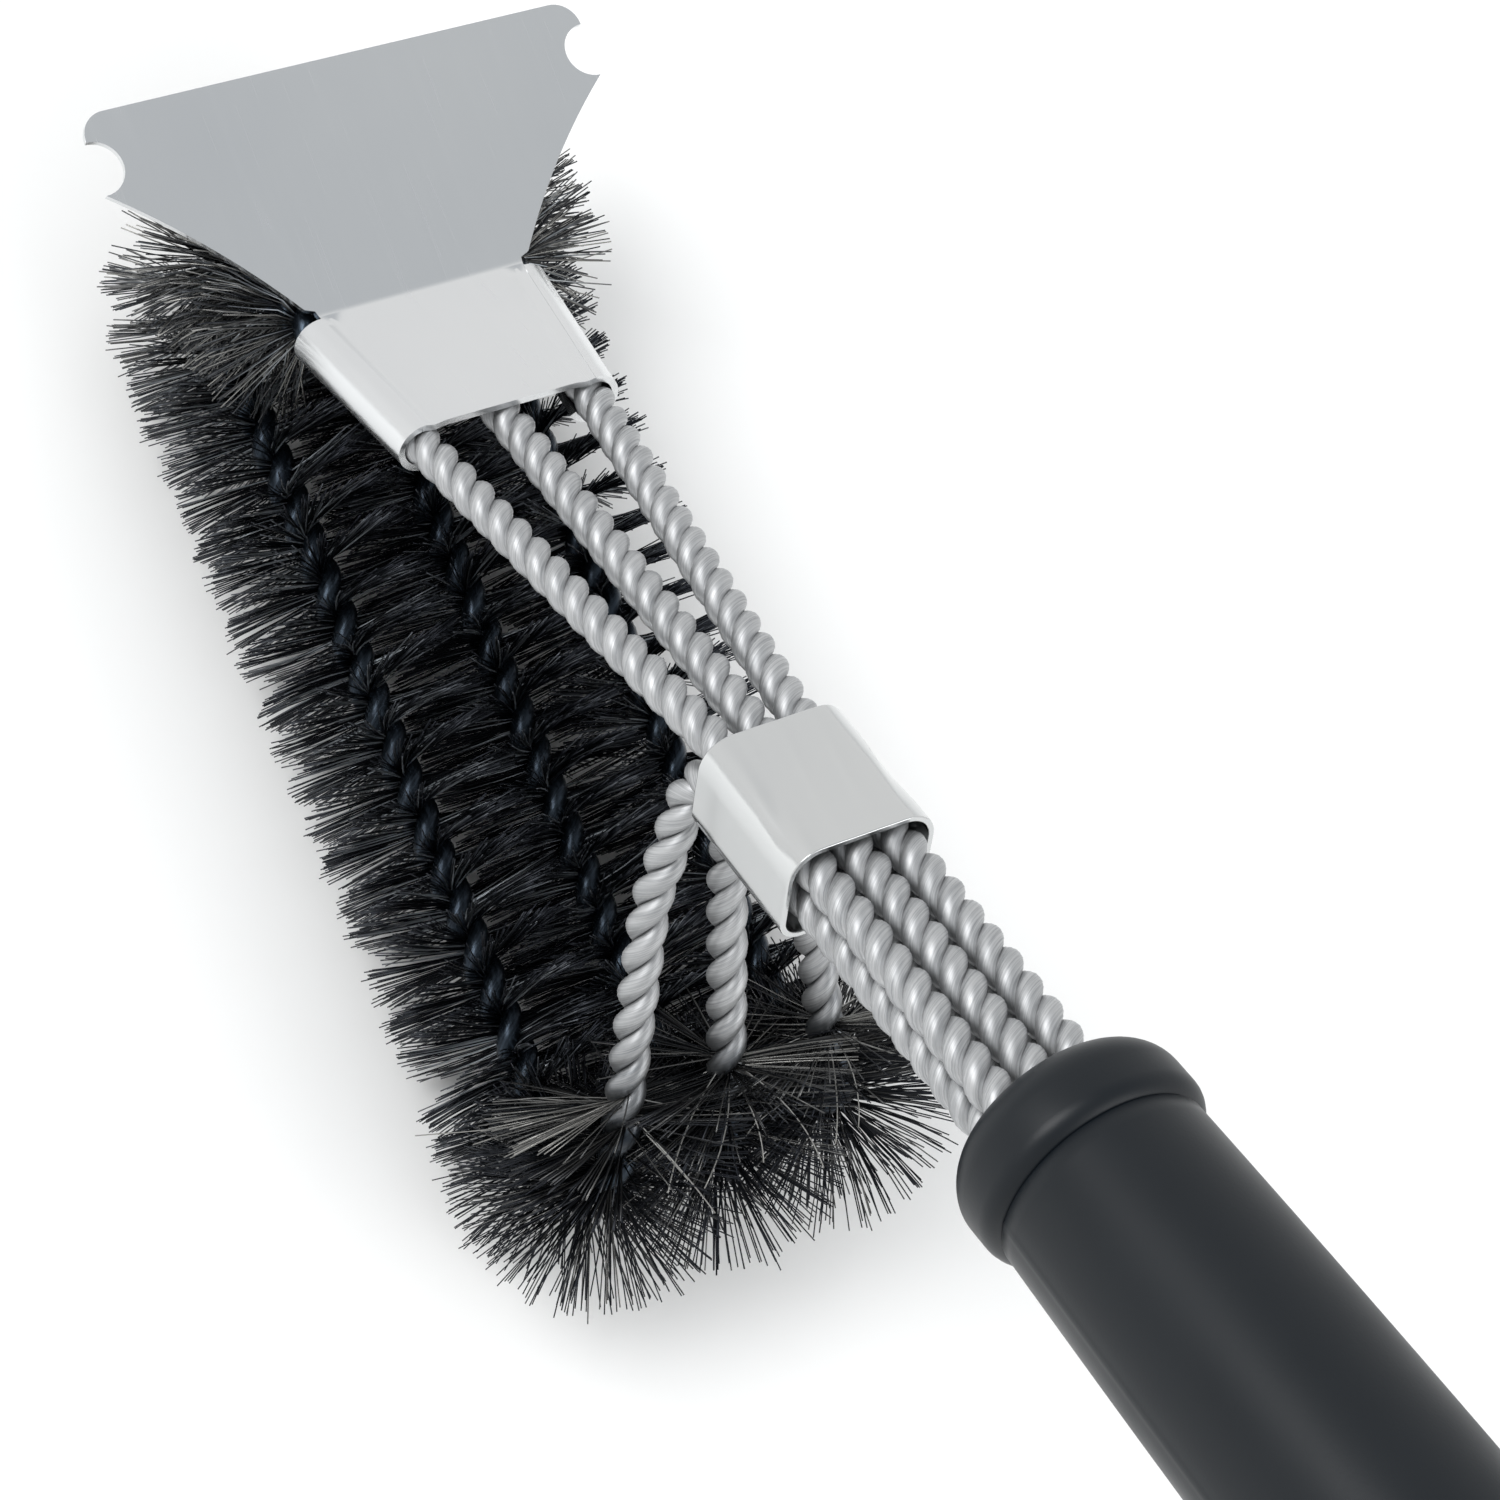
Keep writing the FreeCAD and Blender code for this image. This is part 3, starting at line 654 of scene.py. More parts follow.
@dataclass(frozen=True)
class BristleWire(Finish):
    """Hard-drawn 0.28 mm carbon steel bristle wire with a blackened finish.

    The eye sees charcoal black hairs that catch thin glints, painted silver near the roots of
    a few wires. Each hair is painted darker towards its root as painted shade and lighter at
    its tip as a painted highlight, and the wires at the two ends of a row have lost some of
    their black and look dusty.
    """

    name: str = "blackened_bristle_wire"
    # The shaft is painted darker at its root as painted shade deep in the row; the tip colour is a
    # painted highlight and silver the colour of painted glints.
    root: str = "#0d1015"
    hair: str = "#1a1d23"
    tip: str = "#35383e"
    silver: str = "#cfd6dc"
    dusty: str = "#a8a7a3"
    roughness: float = 0.30
    polished: float = 0.08
    scoured: float = 0.1
    tip_start: float = 0.55
    glint_tone_start: float = 0.58
    glint_tone_full: float = 0.92
    glint_start: float = 0.3
    glint_end: float = 0.85
    glint_left: float = 0.1
    metal: float = 0.8

    def lay(self, tree: bpy.types.NodeTree) -> dict[str | int, object]:
        """Wires the painted shade at the roots, the painted highlight at the tips, the painted
        glints and a tone for each wire.

        Args:
            tree: The material's node tree.

        Returns:
            What each of the shader's inputs gets.
        """
        reach, tone, worn = (
            add_node(tree, "Attribute", out="Fac", attribute_name=name)
            for name in ("bristle_reach", "bristle_tone", "bristle_wear")
        )
        # Painted shade: the shaft is painted darker towards its root, deep in the row.
        black = {FIRST: linear(self.root), SECOND: linear(self.hair)}
        shaft = add_node(tree, "Mix", {SHARE: reach, **black}, MIXED, data_type="RGBA")
        # Painted highlight: the tip is painted lighter, the more so for a wire of a higher tone.
        cut = {"Value": reach, "From Min": self.tip_start, "From Max": 1.0}
        near_tip = add_node(tree, "MapRange", cut)
        tipped = add_node(tree, "Math", {0: near_tip, 1: tone}, operation="MULTIPLY")
        # Painted glints: wires of a high tone are painted silver near their roots.
        glint_tone_range = {"Value": tone, "From Min": self.glint_tone_start, "From Max": self.glint_tone_full}
        bare_zinc_and_painted_glint = add_node(tree, "MapRange", glint_tone_range)
        shown = {"Value": reach, "From Min": self.glint_start, "From Max": self.glint_end}
        near_root = add_node(
            tree, "MapRange", {**shown, "To Min": 1.0, "To Max": self.glint_left}
        )
        glint = add_node(tree, "Math", {0: bare_zinc_and_painted_glint, 1: near_root}, operation="MULTIPLY")
        colour = shaft
        # Layers the painted tip highlight, the painted glints and the real dust and wear over the
        # shaft.
        for share, code in ((tipped, self.tip), (glint, self.silver), (worn, self.dusty)):
            layer = {SHARE: share, FIRST: colour, SECOND: linear(code)}
            colour = add_node(tree, "Mix", layer, MIXED, data_type="RGBA")
        low, high = self.roughness - self.polished, self.roughness + self.scoured
        rough = add_node(tree, "MapRange", {"Value": tone, "To Min": low, "To Max": high})
        return {"Base Color": colour, "Roughness": rough, "Metallic": self.metal}


@dataclass(frozen=True)
class MouldedPlastic(Finish):
    """Injection-moulded polypropylene with a spark-eroded satin texture.

    The eye sees a charcoal colour with a broad soft highlight, a fine grain and slightly
    shinier patches where hands and packaging have rubbed it.
    """

    name: str = "polypropylene_satin_moulded"
    colour: str = "#0b1116"
    pale: str = "#10161c"
    roughness: float = 0.44
    polish: float = 0.10
    grain_size: float = 0.45
    grain_height: float = 0.018
    grain_strength: float = 0.5
    patch_size: float = 26.0
    patch_start: float = 0.3
    patch_full: float = 0.7
    index: float = 1.49
    shine: float = 0.3

    def lay(self, tree: bpy.types.NodeTree) -> dict[str | int, object]:
        """Wires the spark-eroded grain and the rubbed patches.

        Args:
            tree: The material's node tree.

        Returns:
            What each of the shader's inputs gets.
        """
        place = add_node(tree, "TexCoord", out="Object")
        grain, patches = (
            add_node(tree, "TexNoise", {"Vector": place, "Scale": scale_for(size), "Detail": fine})
            for size, fine in ((self.grain_size, 2.0), (self.patch_size, 4.0))
        )
        colours = {FIRST: linear(self.colour), SECOND: linear(self.pale)}
        tint = add_node(tree, "Mix", {SHARE: patches, **colours}, MIXED, data_type="RGBA")
        rubbed = {"Value": patches, "From Min": self.patch_start, "From Max": self.patch_full}
        low, high = self.roughness - self.polish, self.roughness + self.polish / 2
        rough = add_node(tree, "MapRange", {**rubbed, "To Min": low, "To Max": high})
        eroded = {"Height": grain, "Distance": self.grain_height * MM}
        bump = add_node(tree, "Bump", {**eroded, "Strength": self.grain_strength})
        return {
            "Base Color": tint,
            "Roughness": rough,
            "Normal": bump,
            "Metallic": 0.0,
            "IOR": self.index,
            "Specular IOR Level": self.shine,
        }


@dataclass(frozen=True)
class BrightDrawnSteel(Finish):
    """Bright drawn steel for the hanging loop and the pin.

    The eye sees a clean silver wire with faint cloudy tarnish.
    """

    name: str = "bright_drawn_steel"
    bright: str = "#c4c6c8"
    tarnish: str = "#8e9092"
    roughness: float = 0.26
    polished: float = 0.08
    tarnished: float = 0.12
    cloud_size: float = 4.0

    def lay(self, tree: bpy.types.NodeTree) -> dict[str | int, object]:
        """Wires the clouds of tarnish in colour and roughness.

        Args:
            tree: The material's node tree.

        Returns:
            What each of the shader's inputs gets.
        """
        place = add_node(tree, "TexCoord", out="Object")
        cloud = {"Vector": place, "Scale": scale_for(self.cloud_size), "Detail": 4.0}
        clouds = add_node(tree, "TexNoise", cloud)
        colours = {FIRST: linear(self.bright), SECOND: linear(self.tarnish)}
        tint = add_node(tree, "Mix", {SHARE: clouds, **colours}, MIXED, data_type="RGBA")
        low, high = self.roughness - self.polished, self.roughness + self.tarnished
        rough = add_node(tree, "MapRange", {"Value": clouds, "To Min": low, "To Max": high})
        return {"Base Color": tint, "Roughness": rough, "Metallic": 1.0}


@dataclass(frozen=True)
class StudioVinyl(Finish):
    """Matt white vinyl, rolled out as the studio's floor.

    The eye sees an even pale ground that takes a soft shadow.
    """

    name: str = "pale_floor"
    colour: str = "#f8f8f7"
    roughness: float = 0.9

    def lay(self, tree: bpy.types.NodeTree) -> dict[str | int, object]:
        """An even colour and no pattern."""
        return {"Base Color": linear(self.colour), "Roughness": self.roughness}


def place_piece(
    piece: bpy.types.Object, finish: Finish, slot: str, *nodes: str
) -> bpy.types.Object:
    """Dresses a new piece, fixes it to the brush and lets it stand for its nodes.

    Args:
        piece: The piece.
        finish: What its surface is.
        slot: The record's material slot that it belongs to. It is not used.
        nodes: The CAD nodes that it stands for.

    Returns:
        The same piece.
    """
    piece.data.materials.append(finish.material())
    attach(piece, BRUSH)
    if nodes:
        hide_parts(*nodes)
    return piece


def dress_node(node: str, finish: Finish) -> None:
    """Gives a carried-over CAD node its finish.

    Args:
        node: The node's name.
        finish: What its surface is.
    """
    slots = frame["nodes"][node].data.materials
    if len(slots) == 0:
        slots.append(finish.material())
    for index in range(len(slots)):
        slots[index] = finish.material()


# ------------------------------------------------------------------ ropes


@dataclass
class Stem:
    """One rope of two twisted wires, bent round into a loop.

    Attributes:
        row: Which of the three stems it is.
        finish: The wire's finish.
        rope_radius: Radius of the whole rope.
        wire_radius: Radius of one strand, which the twist has pressed into the other.
        bare_pitch: Length of one turn of the twist on the bare runs.
        core_pitch: Length of one turn where bristles hold the strands apart.
        riser_pitch: Length of one turn up the riser.
        pitch_ease: Length over which the twist changes its pitch.
        twist_start: Angle at which the left rope's twist starts.
        black_ahead: Where the oxide starts and is full, before the nose bend.
        black_behind: Where it is still full and ends, past the row.
        pattern_shift: Moves the pattern between two strands and between two rows.
        crisp: Edges that turn by more than this many degrees stay crisp.
        ring_count: Vertices round a strand.
        step: Distance between two rings.
        stem_height: Height of the stem frame's origin above the rows' cores.
        rear_reach: How far the ropes run back from the collar's mouth into the handle.
        fan_radius: Bend radius where the outer ropes start to spread.
        nose_radius: Bend radius of the centre rope under the blade.
        nose_share: Share of the run between the two nose bends that they fill.
        heel_radius: Bend radius at the foot of the riser.
        heel_setback: How far the heel reaches back from the collar's mouth.
        riser_radius: Bend radius at the riser's top.
        riser_lead: Where the riser meets the lower rope, ahead of the collar's mouth.
        bow_share: How far up the riser its knee is.
        bow_forward: How far the knee stands ahead of a straight riser.
        bow_outward: How far an outer riser's knee stands to its side.
        bow_radius: Bend radius at the knee.
        heel_passes: How often the heel's place is worked out again from its bend.
        route: The rope's middle line.
        ends: Where on the route each run starts and ends.
    """

    row: Row
    finish: DrawnWire
    rope_radius: float = 3.0
    wire_radius: float = 1.72
    bare_pitch: float = 9.2
    core_pitch: float = 13.0
    riser_pitch: float = 11.2
    pitch_ease: float = 14.0
    twist_start: float = 0.9
    black_ahead: tuple[float, float] = (34.0, 20.0)
    black_behind: tuple[float, float] = (14.0, 50.0)
    pattern_shift: tuple[float, float] = (9.0, 7.0)
    crisp: float = 60.0
    ring_count: int = 14
    step: float = 0.5
    stem_height: float = 74.4
    rear_reach: float = 135.1
    fan_radius: float = 40.0
    nose_radius: float = 8.0
    nose_share: float = 0.999
    heel_radius: float = 8.5
    heel_setback: float = 41.0
    riser_radius: float = 5.5
    riser_lead: float = 6.5
    bow_share: float = 0.3
    bow_forward: float = 3.0
    bow_outward: float = 1.8
    bow_radius: float = 30.0
    heel_passes: int = 12
    route: Route = field(init=False)
    ends: dict[Run, tuple[float, float]] = field(init=False)

    def __post_init__(self) -> None:
        """Works out the rope's route and where its runs begin and end.

        The stretches count straights and bends in turn: two nose bends, then the row, then
        the heel, the knee and the riser's top. The outer ropes have a fan bend before them.
        """
        corners, radii = self.corners()
        self.route = Route.through(corners, radii, self.step)
        marks = [0.0, *self.route.marks]
        nose = 2 * (len(radii) - 5) + 1
        cuts = [0, nose, nose + 3, nose + 4, nose + 9, len(marks) - 1]
        self.ends = {
            run: (marks[first], marks[last]) for run, first, last in zip(Run, cuts, cuts[1:])
        }

    def riser(self, top: np.ndarray) -> tuple[np.ndarray, np.ndarray]:
        """Finds where the riser's foot and knee are, so that the heel bend ends in place.

        Args:
            top: The riser's top.

        Returns:
            The heel's corner and the knee's.
        """
        row = self.row.value
        bow = np.array([self.bow_forward, row * self.bow_outward, 0.0])
        middle = heel_at = -self.heel_setback + self.heel_radius
        for _ in range(self.heel_passes):
            heel = DATUM.row(heel_at, row)
            knee = top + (heel - top) * self.bow_share + bow
            turn = math.pi - math.acos(unit(knee - heel)[0])
            heel_at = middle - self.heel_radius * math.tan(turn / 2)
        return heel, knee

    def corners(self) -> tuple[list[np.ndarray], list[float]]:
        """Works out the corners of the rope's line.

        Returns:
            The ends of its straight runs and the radii of its bends.
        """
        row, slope = self.row.value, DATUM.slope
        side, lower = row * DATUM.rope_spacing, -DATUM.layer_spacing
        nose_start = self.stem_height - self.nose_radius * (1 + math.cos(slope))
        nose_start /= math.sin(slope)
        overshoot = self.nose_radius * math.tan((math.pi - slope) / 4)
        nose_along = nose_start + overshoot
        row_start = nose_start * math.cos(slope) - self.nose_radius * math.sin(slope)
        top = DATUM.stem(self.riser_lead, side, lower)
        heel, knee = self.riser(top)
        upper_nose = DATUM.stem(nose_along, row * DATUM.fan(nose_along), 0.0)
        lower_nose = DATUM.row(row_start + overshoot, row)
        fan = DATUM.stem(DATUM.fan_start, side, 0.0)
        half_run = float(np.linalg.norm(lower_nose - upper_nose)) / 2
        radii = [
            self.nose_share * half_run / math.tan(half_turn(*around))
            for around in ((fan, upper_nose, lower_nose), (upper_nose, lower_nose, heel))
        ]
        radii += [self.heel_radius, self.bow_radius, self.riser_radius]
        corners = [upper_nose, lower_nose, heel, knee, top]
        if self.row is not Row.CENTRE:
            corners.insert(0, fan)
            radii.insert(0, self.fan_radius)
        upper_end, lower_end = (DATUM.stem(-self.rear_reach, side, above) for above in (0.0, lower))
        return [upper_end, *corners, lower_end], radii

    def pitch(self, reach: np.ndarray) -> np.ndarray:
        """Works out how tightly the rope is twisted.

        Args:
            reach: Distances along the rope.

        Returns:
            The length of one turn of the twist at each.
        """
        core_start, core_end = self.ends[Run.CORE]
        riser_end, ease = self.ends[Run.RISER][1], self.pitch_ease
        stations = [core_start - ease, core_start, core_end, core_end + ease]
        stations += [riser_end - ease, riser_end]
        pitches = [self.bare_pitch, self.core_pitch, self.core_pitch, self.riser_pitch]
        pitches += [self.riser_pitch, self.bare_pitch]
        return np.interp(reach, stations, pitches)

    def phase(self) -> np.ndarray:
        """Adds up the twist along the rope.

        Returns:
            The angle of the first strand about the rope at each sample of the route.
        """
        rate = FULL / self.pitch(self.route.reach)
        steps = np.diff(self.route.reach) * (rate[1:] + rate[:-1]) / 2
        return self.twist_start * self.row.value + np.concatenate([[0.0], np.cumsum(steps)])

    def patina(self, reach: np.ndarray) -> np.ndarray:
        """Works out how black the wire has turned.

        Args:
            reach: Distances along the rope.

        Returns:
            A share for each, from 0 on bare runs to 1 in the bristle row.
        """
        core_end, nose_start = self.ends[Run.CORE][1], self.ends[Run.NOSE][0]
        stations = [nose_start - ahead for ahead in self.black_ahead]
        stations += [core_end + behind for behind in self.black_behind]
        return np.interp(reach, stations, [0.0, 1.0, 1.0, 0.0])

    def build(self, run: Run) -> bpy.types.Object:
        """Makes both strands of one run as one piece.

        Args:
            run: The stretch of rope to make.

        Returns:
            The piece, dressed and riding on the brush.
        """
        first, last = self.ends[run]
        reach, count = self.route.reach, self.ring_count
        chosen = np.flatnonzero((reach >= first - self.step / 2) & (reach <= last + self.step / 2))
        angle, phase = circle(count), self.phase()
        shape = (len(chosen), count)
        points, quads, caps, places = [], [], [], []
        for strand in (0, 1):
            outward = swung(phase + strand * math.pi, self.route.normal, self.route.binormal)
            middle = self.route.points + (self.rope_radius - self.wire_radius) * outward
            tangent = np.gradient(middle, axis=0)
            stride = np.linalg.norm(tangent, axis=1)
            tangent /= stride[:, None]
            outward = unit(outward - (outward * tangent).sum(1, keepdims=True) * tangent)
            across = np.cross(tangent, outward)
            ring = swung(angle, outward[chosen][:, None], across[chosen][:, None])
            points.append((middle[chosen][:, None] + self.wire_radius * ring).reshape(-1, 3))
            start = strand * shape[0] * count
            quads.append(grid_quads(shape[0], count, True, start))
            rim = np.arange(start, start + count)
            caps += [rim[::-1].tolist(), (rim + (shape[0] - 1) * count).tolist()]
            between_strands, between_rows = self.pattern_shift
            unrolled = [
                self.wire_radius * np.cos(angle) + between_strands * strand,
                self.wire_radius * np.sin(angle) + between_rows * self.row.value,
                np.cumsum(stride)[chosen][:, None],
            ]
            places.append(np.stack([np.broadcast_to(part, shape) for part in unrolled], -1))
        node = f"{self.row.label}_{run.value}"
        piece = new_piece(f"{node}_strands", np.concatenate(points), np.concatenate(quads), caps)
        set_attribute(piece, "strand_place", np.concatenate(places).reshape(-1, 3))
        set_attribute(piece, "strand_facing", np.tile(np.cos(angle), 2 * shape[0]))
        patina = np.tile(np.repeat(self.patina(reach[chosen]), count), 2)
        set_attribute(piece, "strand_patina", patina)
        sharpen(piece, self.crisp)
        slot = "dark_wire" if run is Run.CORE else "twisted_wire"
        return place_piece(piece, self.finish, slot, node)


# ------------------------------------------------------------------ bristles


@dataclass
class BristleRow:
    """The wires that one row's twisted core grips.

    Attributes:
        stem: The rope whose strands hold the wires.
        finish: The wires' finish.
        seed: Where the random draws of the middle row start.
        per_mm: Wire ends for each millimetre of core.
        radius: How far the tips stand from the core's middle.
        nose_radius: The same round the bend under the blade.
        heel_radius: The same round the heel, where the wires splay.
        length_spread: How unevenly the wires are cut, as a share.
        wire_radius: Radius of one bristle.
        tip_share: How thick its tip is, as a share.
        root_depth: Distance from the core's middle at which a bristle starts.
        root_spread: How far a wire strays from its place along the core.
        fan_spread: How far a wire strays from the twist, as an angle in radians.
        lean_spread: How far it leans along the row, as a slope.
        tuft_length: Length of core over which the wires lean and curl together.
        tuft_lean: How far the wires of a tuft lean along the row together.
        tuft_curl: How far their tips curl together.
        curl: How far each tip curls by itself.
        fan_unrest: How much more the wires stray from the twist at a row's ends.
        unrest: How much more they lean and curl there.
        nose_cover: How far up the nose bend the wires go on.
        heel_cover: How far up the riser they go on.
        end_zone: Length of row over which its ends' looks set in.
        end_reach: How many zones past a row's end its looks still grow.
        heel_flatten: How much of their rise the heel's wires lose under the handle.
        heel_dulling: How much weaker their painted tip highlights and glints are.
        floor_gap: How far the lowest wires stay above the ground.
        blade_start: Where the blade starts, along the stems.
        blade_height: Height of the blade's underside, which the wires stay under.
        parting_start: Where wires on the heel start to part from the riser.
        foot_parting: How far they part from it.
        foot_start: Where the worn wires at the riser's foot start.
        foot_length: Length of core over which those looks set in.
        foot_wear: How worn the foot's wires are that don't point to the side.
        side_start: How far to the side a wire points where it starts to be worn more.
        side_length: How much further it points where it is fully worn.
        end_wear: How worn a few wires at a row's ends are.
        nose_wear: How worn a few wires at the nose are.
        nose_wear_start: How many zones ahead of the row those start.
        tone_power: How rare the lighter wires are, whose painted tip highlights and glints are
            stronger.
        foot_power: How rare the more worn wires are at the riser's foot.
        end_power: The same at a row's ends.
        nose_power: The same at the nose.
        steep: How upright a wire has to be for its faces to be set out another way.
        rings: Places along a wire.
        sides: Faces round a wire.
    """

    stem: Stem
    finish: BristleWire
    seed: int = 31
    per_mm: float = 36.0
    radius: float = 16.2
    nose_radius: float = 16.6
    heel_radius: float = 18.9
    length_spread: float = 0.035
    wire_radius: float = 0.135
    tip_share: float = 0.8
    root_depth: float = 1.4
    root_spread: float = 0.5
    fan_spread: float = 0.22
    lean_spread: float = 0.03
    tuft_length: float = 3.3
    tuft_lean: float = 0.07
    tuft_curl: float = 0.9
    curl: float = 0.28
    fan_unrest: float = 0.2
    unrest: float = 0.6
    nose_cover: float = 17.0
    heel_cover: float = 31.0
    end_zone: float = 16.0
    end_reach: float = 1.6
    heel_flatten: float = 0.7
    heel_dulling: float = 0.4
    floor_gap: float = 0.15
    blade_start: float = 100.0
    blade_height: float = 42.2
    parting_start: float = 14.0
    foot_parting: float = 0.8
    foot_start: float = 25.0
    foot_length: float = 4.0
    foot_wear: float = 0.1
    side_start: float = 0.5
    side_length: float = 0.4
    end_wear: float = 0.35
    nose_wear: float = 1.4
    nose_wear_start: float = 0.9
    tone_power: float = 1.5
    foot_power: float = 1.5
    end_power: int = 6
    nose_power: int = 4
    steep: float = 0.8
    rings: int = 4
    sides: int = 3

    def build(self) -> bpy.types.Object:
        """Makes the row's wires as one piece that stands for the row's envelope.

        Returns:
            The piece, dressed and riding on the brush.
        """
        random = np.random.default_rng(self.seed + self.stem.row.value)
        core_first, core_last = self.stem.ends[Run.CORE]
        first = self.stem.ends[Run.NOSE][0] - self.nose_cover
        last = core_last + self.heel_cover
        count = int((last - first) * self.per_mm)
        station = first + (last - first) * (np.arange(count) + random.random(count)) / count
        zones_ahead = (core_first + self.end_zone - station) / self.end_zone
        zones_behind = (station - core_last + self.end_zone / 2) / self.end_zone
        nose, heel = np.clip(zones_ahead, 0, 1), np.clip(zones_behind, 0, 1)
        ending = np.maximum(nose, heel)
        station = station + self.root_spread * random.standard_normal(count)
        place, tangent, normal, binormal = self.stem.route.at(station)
        phase = np.interp(station, self.stem.route.reach, self.stem.phase())
        side = random.integers(0, 2, count)
        spread = self.fan_spread * (1 + self.fan_unrest * ending)
        angle = phase + QUARTER + math.pi * side + spread * random.standard_normal(count)
        outward = swung(angle, normal, binormal)
        knots = np.arange(first - self.tuft_length, last + 2 * self.tuft_length, self.tuft_length)
        shared = [np.interp(station, knots, random.standard_normal(len(knots))) for _ in range(3)]
        unrest = 1 + self.unrest * ending
        lean = self.lean_spread * unrest * random.standard_normal(count)
        lean += self.tuft_lean * shared[0]
        direction = outward + lean[:, None] * tangent
        direction[:, 2] -= self.heel_flatten * heel * np.maximum(direction[:, 2], 0.0)
        past_row = station - core_last
        parting = np.clip((past_row - self.parting_start) / self.foot_length, 0, 1)
        direction[:, 0] -= self.foot_parting * parting * np.minimum(direction[:, 0], 0.0)
        direction = unit(direction)
        reach = self.radius + (self.nose_radius - self.radius) * nose
        reach += (self.heel_radius - self.radius) * heel
        reach = reach * (1 + self.length_spread * random.standard_normal(count)) - self.root_depth
        sway = self.curl * random.standard_normal((2, count)) * unrest
        sway += self.tuft_curl * np.array(shared[1:]) * (2 * side - 1)
        bend = np.cross(direction, tangent) * sway[0][:, None] + tangent * sway[1][:, None]
        share = np.linspace(0, 1, self.rings)[None, :, None]
        axis = (place + self.root_depth * outward)[:, None]
        axis = axis + (reach[:, None, None] * share * direction[:, None] + share**2 * bend[:, None])
        # The tone sets each wire's painted tip highlight and root glint; the heel's wires get less
        # of both.
        tone = random.random(count) ** self.tone_power * (1 - self.heel_dulling * heel)
        foot = np.clip((past_row - self.foot_start) / self.foot_length, 0, 1)
        outer = direction[:, 1] * (1 if self.stem.row is Row.LEFT else -1)
        sideways = np.clip((outer - self.side_start) / self.side_length, 0, 1)
        worn_side = self.foot_wear + (1 - self.foot_wear) * sideways
        past_nose = np.clip(np.clip(zones_ahead, 0, self.end_reach) - self.nose_wear_start, 0, 1)
        wear = foot * worn_side * random.random(count) ** self.foot_power
        wear += self.end_wear * ending * random.random(count) ** self.end_power
        wear += self.nose_wear * past_nose * random.random(count) ** self.nose_power
        label = self.stem.row.label
        piece = self.wires(f"{label}_bristle_wires", axis, tone, np.clip(wear, 0, 1))
        return place_piece(piece, self.finish, "bristle_wire", f"{label}_bristles")

    def wires(
        self, name: str, axis: np.ndarray, tone: np.ndarray, wear: np.ndarray
    ) -> bpy.types.Object:
        """Makes a thin tapered wire round each line of places.

        Args:
            name: The piece's name.
            axis: The places along each wire, by wire and ring.
            tone: How light each wire's painted tip highlight and root glint are, from 0 to 1.
            wear: How much black each wire has lost, from 0 to 1.

        Returns:
            The piece, without its material.
        """
        count, rings = axis.shape[:2]
        floor = self.floor_gap + self.wire_radius
        under_blade = axis[:, :, 0] > DATUM.stem(self.blade_start, 0.0, 0.0)[0]
        ceiling = np.where(under_blade, self.blade_height, np.inf)
        axis[:, :, 2] = np.minimum(np.maximum(axis[:, :, 2], floor), ceiling)
        along = unit(axis[:, -1] - axis[:, 0])
        steep = np.abs(along[:, 2:3]) >= self.steep
        first = unit(np.cross(along, np.where(steep, [LEFTWARD], [-DOWNWARD])))
        ring = swung(circle(self.sides), first[:, None], np.cross(along, first)[:, None])
        taper = self.wire_radius * np.linspace(1.0, self.tip_share, rings)
        points = axis[:, :, None] + taper[None, :, None, None] * ring[:, None]
        size = rings * self.sides
        starts = np.arange(count)[:, None] * size
        quads = grid_quads(rings, self.sides, True)[None] + starts[:, None]
        tips = (starts + np.arange(size - self.sides, size)).tolist()
        piece = new_piece(name, points.reshape(-1, 3), quads.reshape(-1, 4), tips)
        share = np.tile(np.repeat(np.linspace(0, 1, rings), self.sides), count)
        set_attribute(piece, "bristle_reach", share)
        set_attribute(piece, "bristle_tone", np.repeat(tone, size))
        set_attribute(piece, "bristle_wear", np.repeat(wear, size))
        return piece


@dataclass
class Strays:
    """The few long bent wires that have worked loose at the riser's foot.

    Attributes:
        bristles: The row that they have come out of.
        seed: Where the random draws of the middle row start.
        count: How many there are.
        length: Length of the longest.
        shortest: Length of the shortest, as a share.
        zone: Length of core that they come from.
        outward: How far they point away from the rope.
        backward: How far they point back along it.
        hook: How far they bend to the side.
        droop: How far they bend down.
        droop_spread: How much of that the most bent one does.
        wear: How much black they have lost.
        rings: Places along a wire.
    """

    bristles: BristleRow
    seed: int = 57
    count: int = 9
    length: float = 31.0
    shortest: float = 0.45
    zone: float = 3.0
    outward: float = 0.9
    backward: float = 0.25
    hook: float = 0.35
    droop: float = 0.5
    droop_spread: float = 0.7
    wear: float = 0.9
    rings: int = 12

    def build(self) -> bpy.types.Object:
        """Makes the loose wires.

        Returns:
            The piece, dressed and riding on the brush.
        """
        stem, count = self.bristles.stem, self.count
        random = np.random.default_rng(self.seed + stem.row.value)
        last = stem.ends[Run.CORE][1] + self.bristles.heel_cover
        place, tangent, normal, binormal = stem.route.at(
            last + self.zone * random.random(count) - self.zone
        )
        outward = swung(FULL * random.random(count), normal, binormal)
        share = np.linspace(0, 1, self.rings)[None, :, None]
        drawn = self.shortest + (1 - self.shortest) * random.random(count)
        hook = np.cross(outward, tangent) * random.uniform(-1, 1, (count, 1))
        droop = DOWNWARD * random.uniform(0.0, self.droop_spread, (count, 1))
        axis = place[:, None] + self.length * drawn[:, None, None] * (
            share * (self.outward * outward - self.backward * tangent)[:, None]
            + share**2 * self.hook * hook[:, None]
            + share**3 * self.droop * droop[:, None]
        )
        # Each loose wire gets the full tone, so the strongest painted tip highlight and root glint.
        tone = np.ones(count)
        name = f"{stem.row.label}_stray_wires"
        piece = self.bristles.wires(name, axis, tone, self.wear * tone)
        return place_piece(piece, self.bristles.finish, "bristle_wire")


# ------------------------------------------------------------------ sheet metal


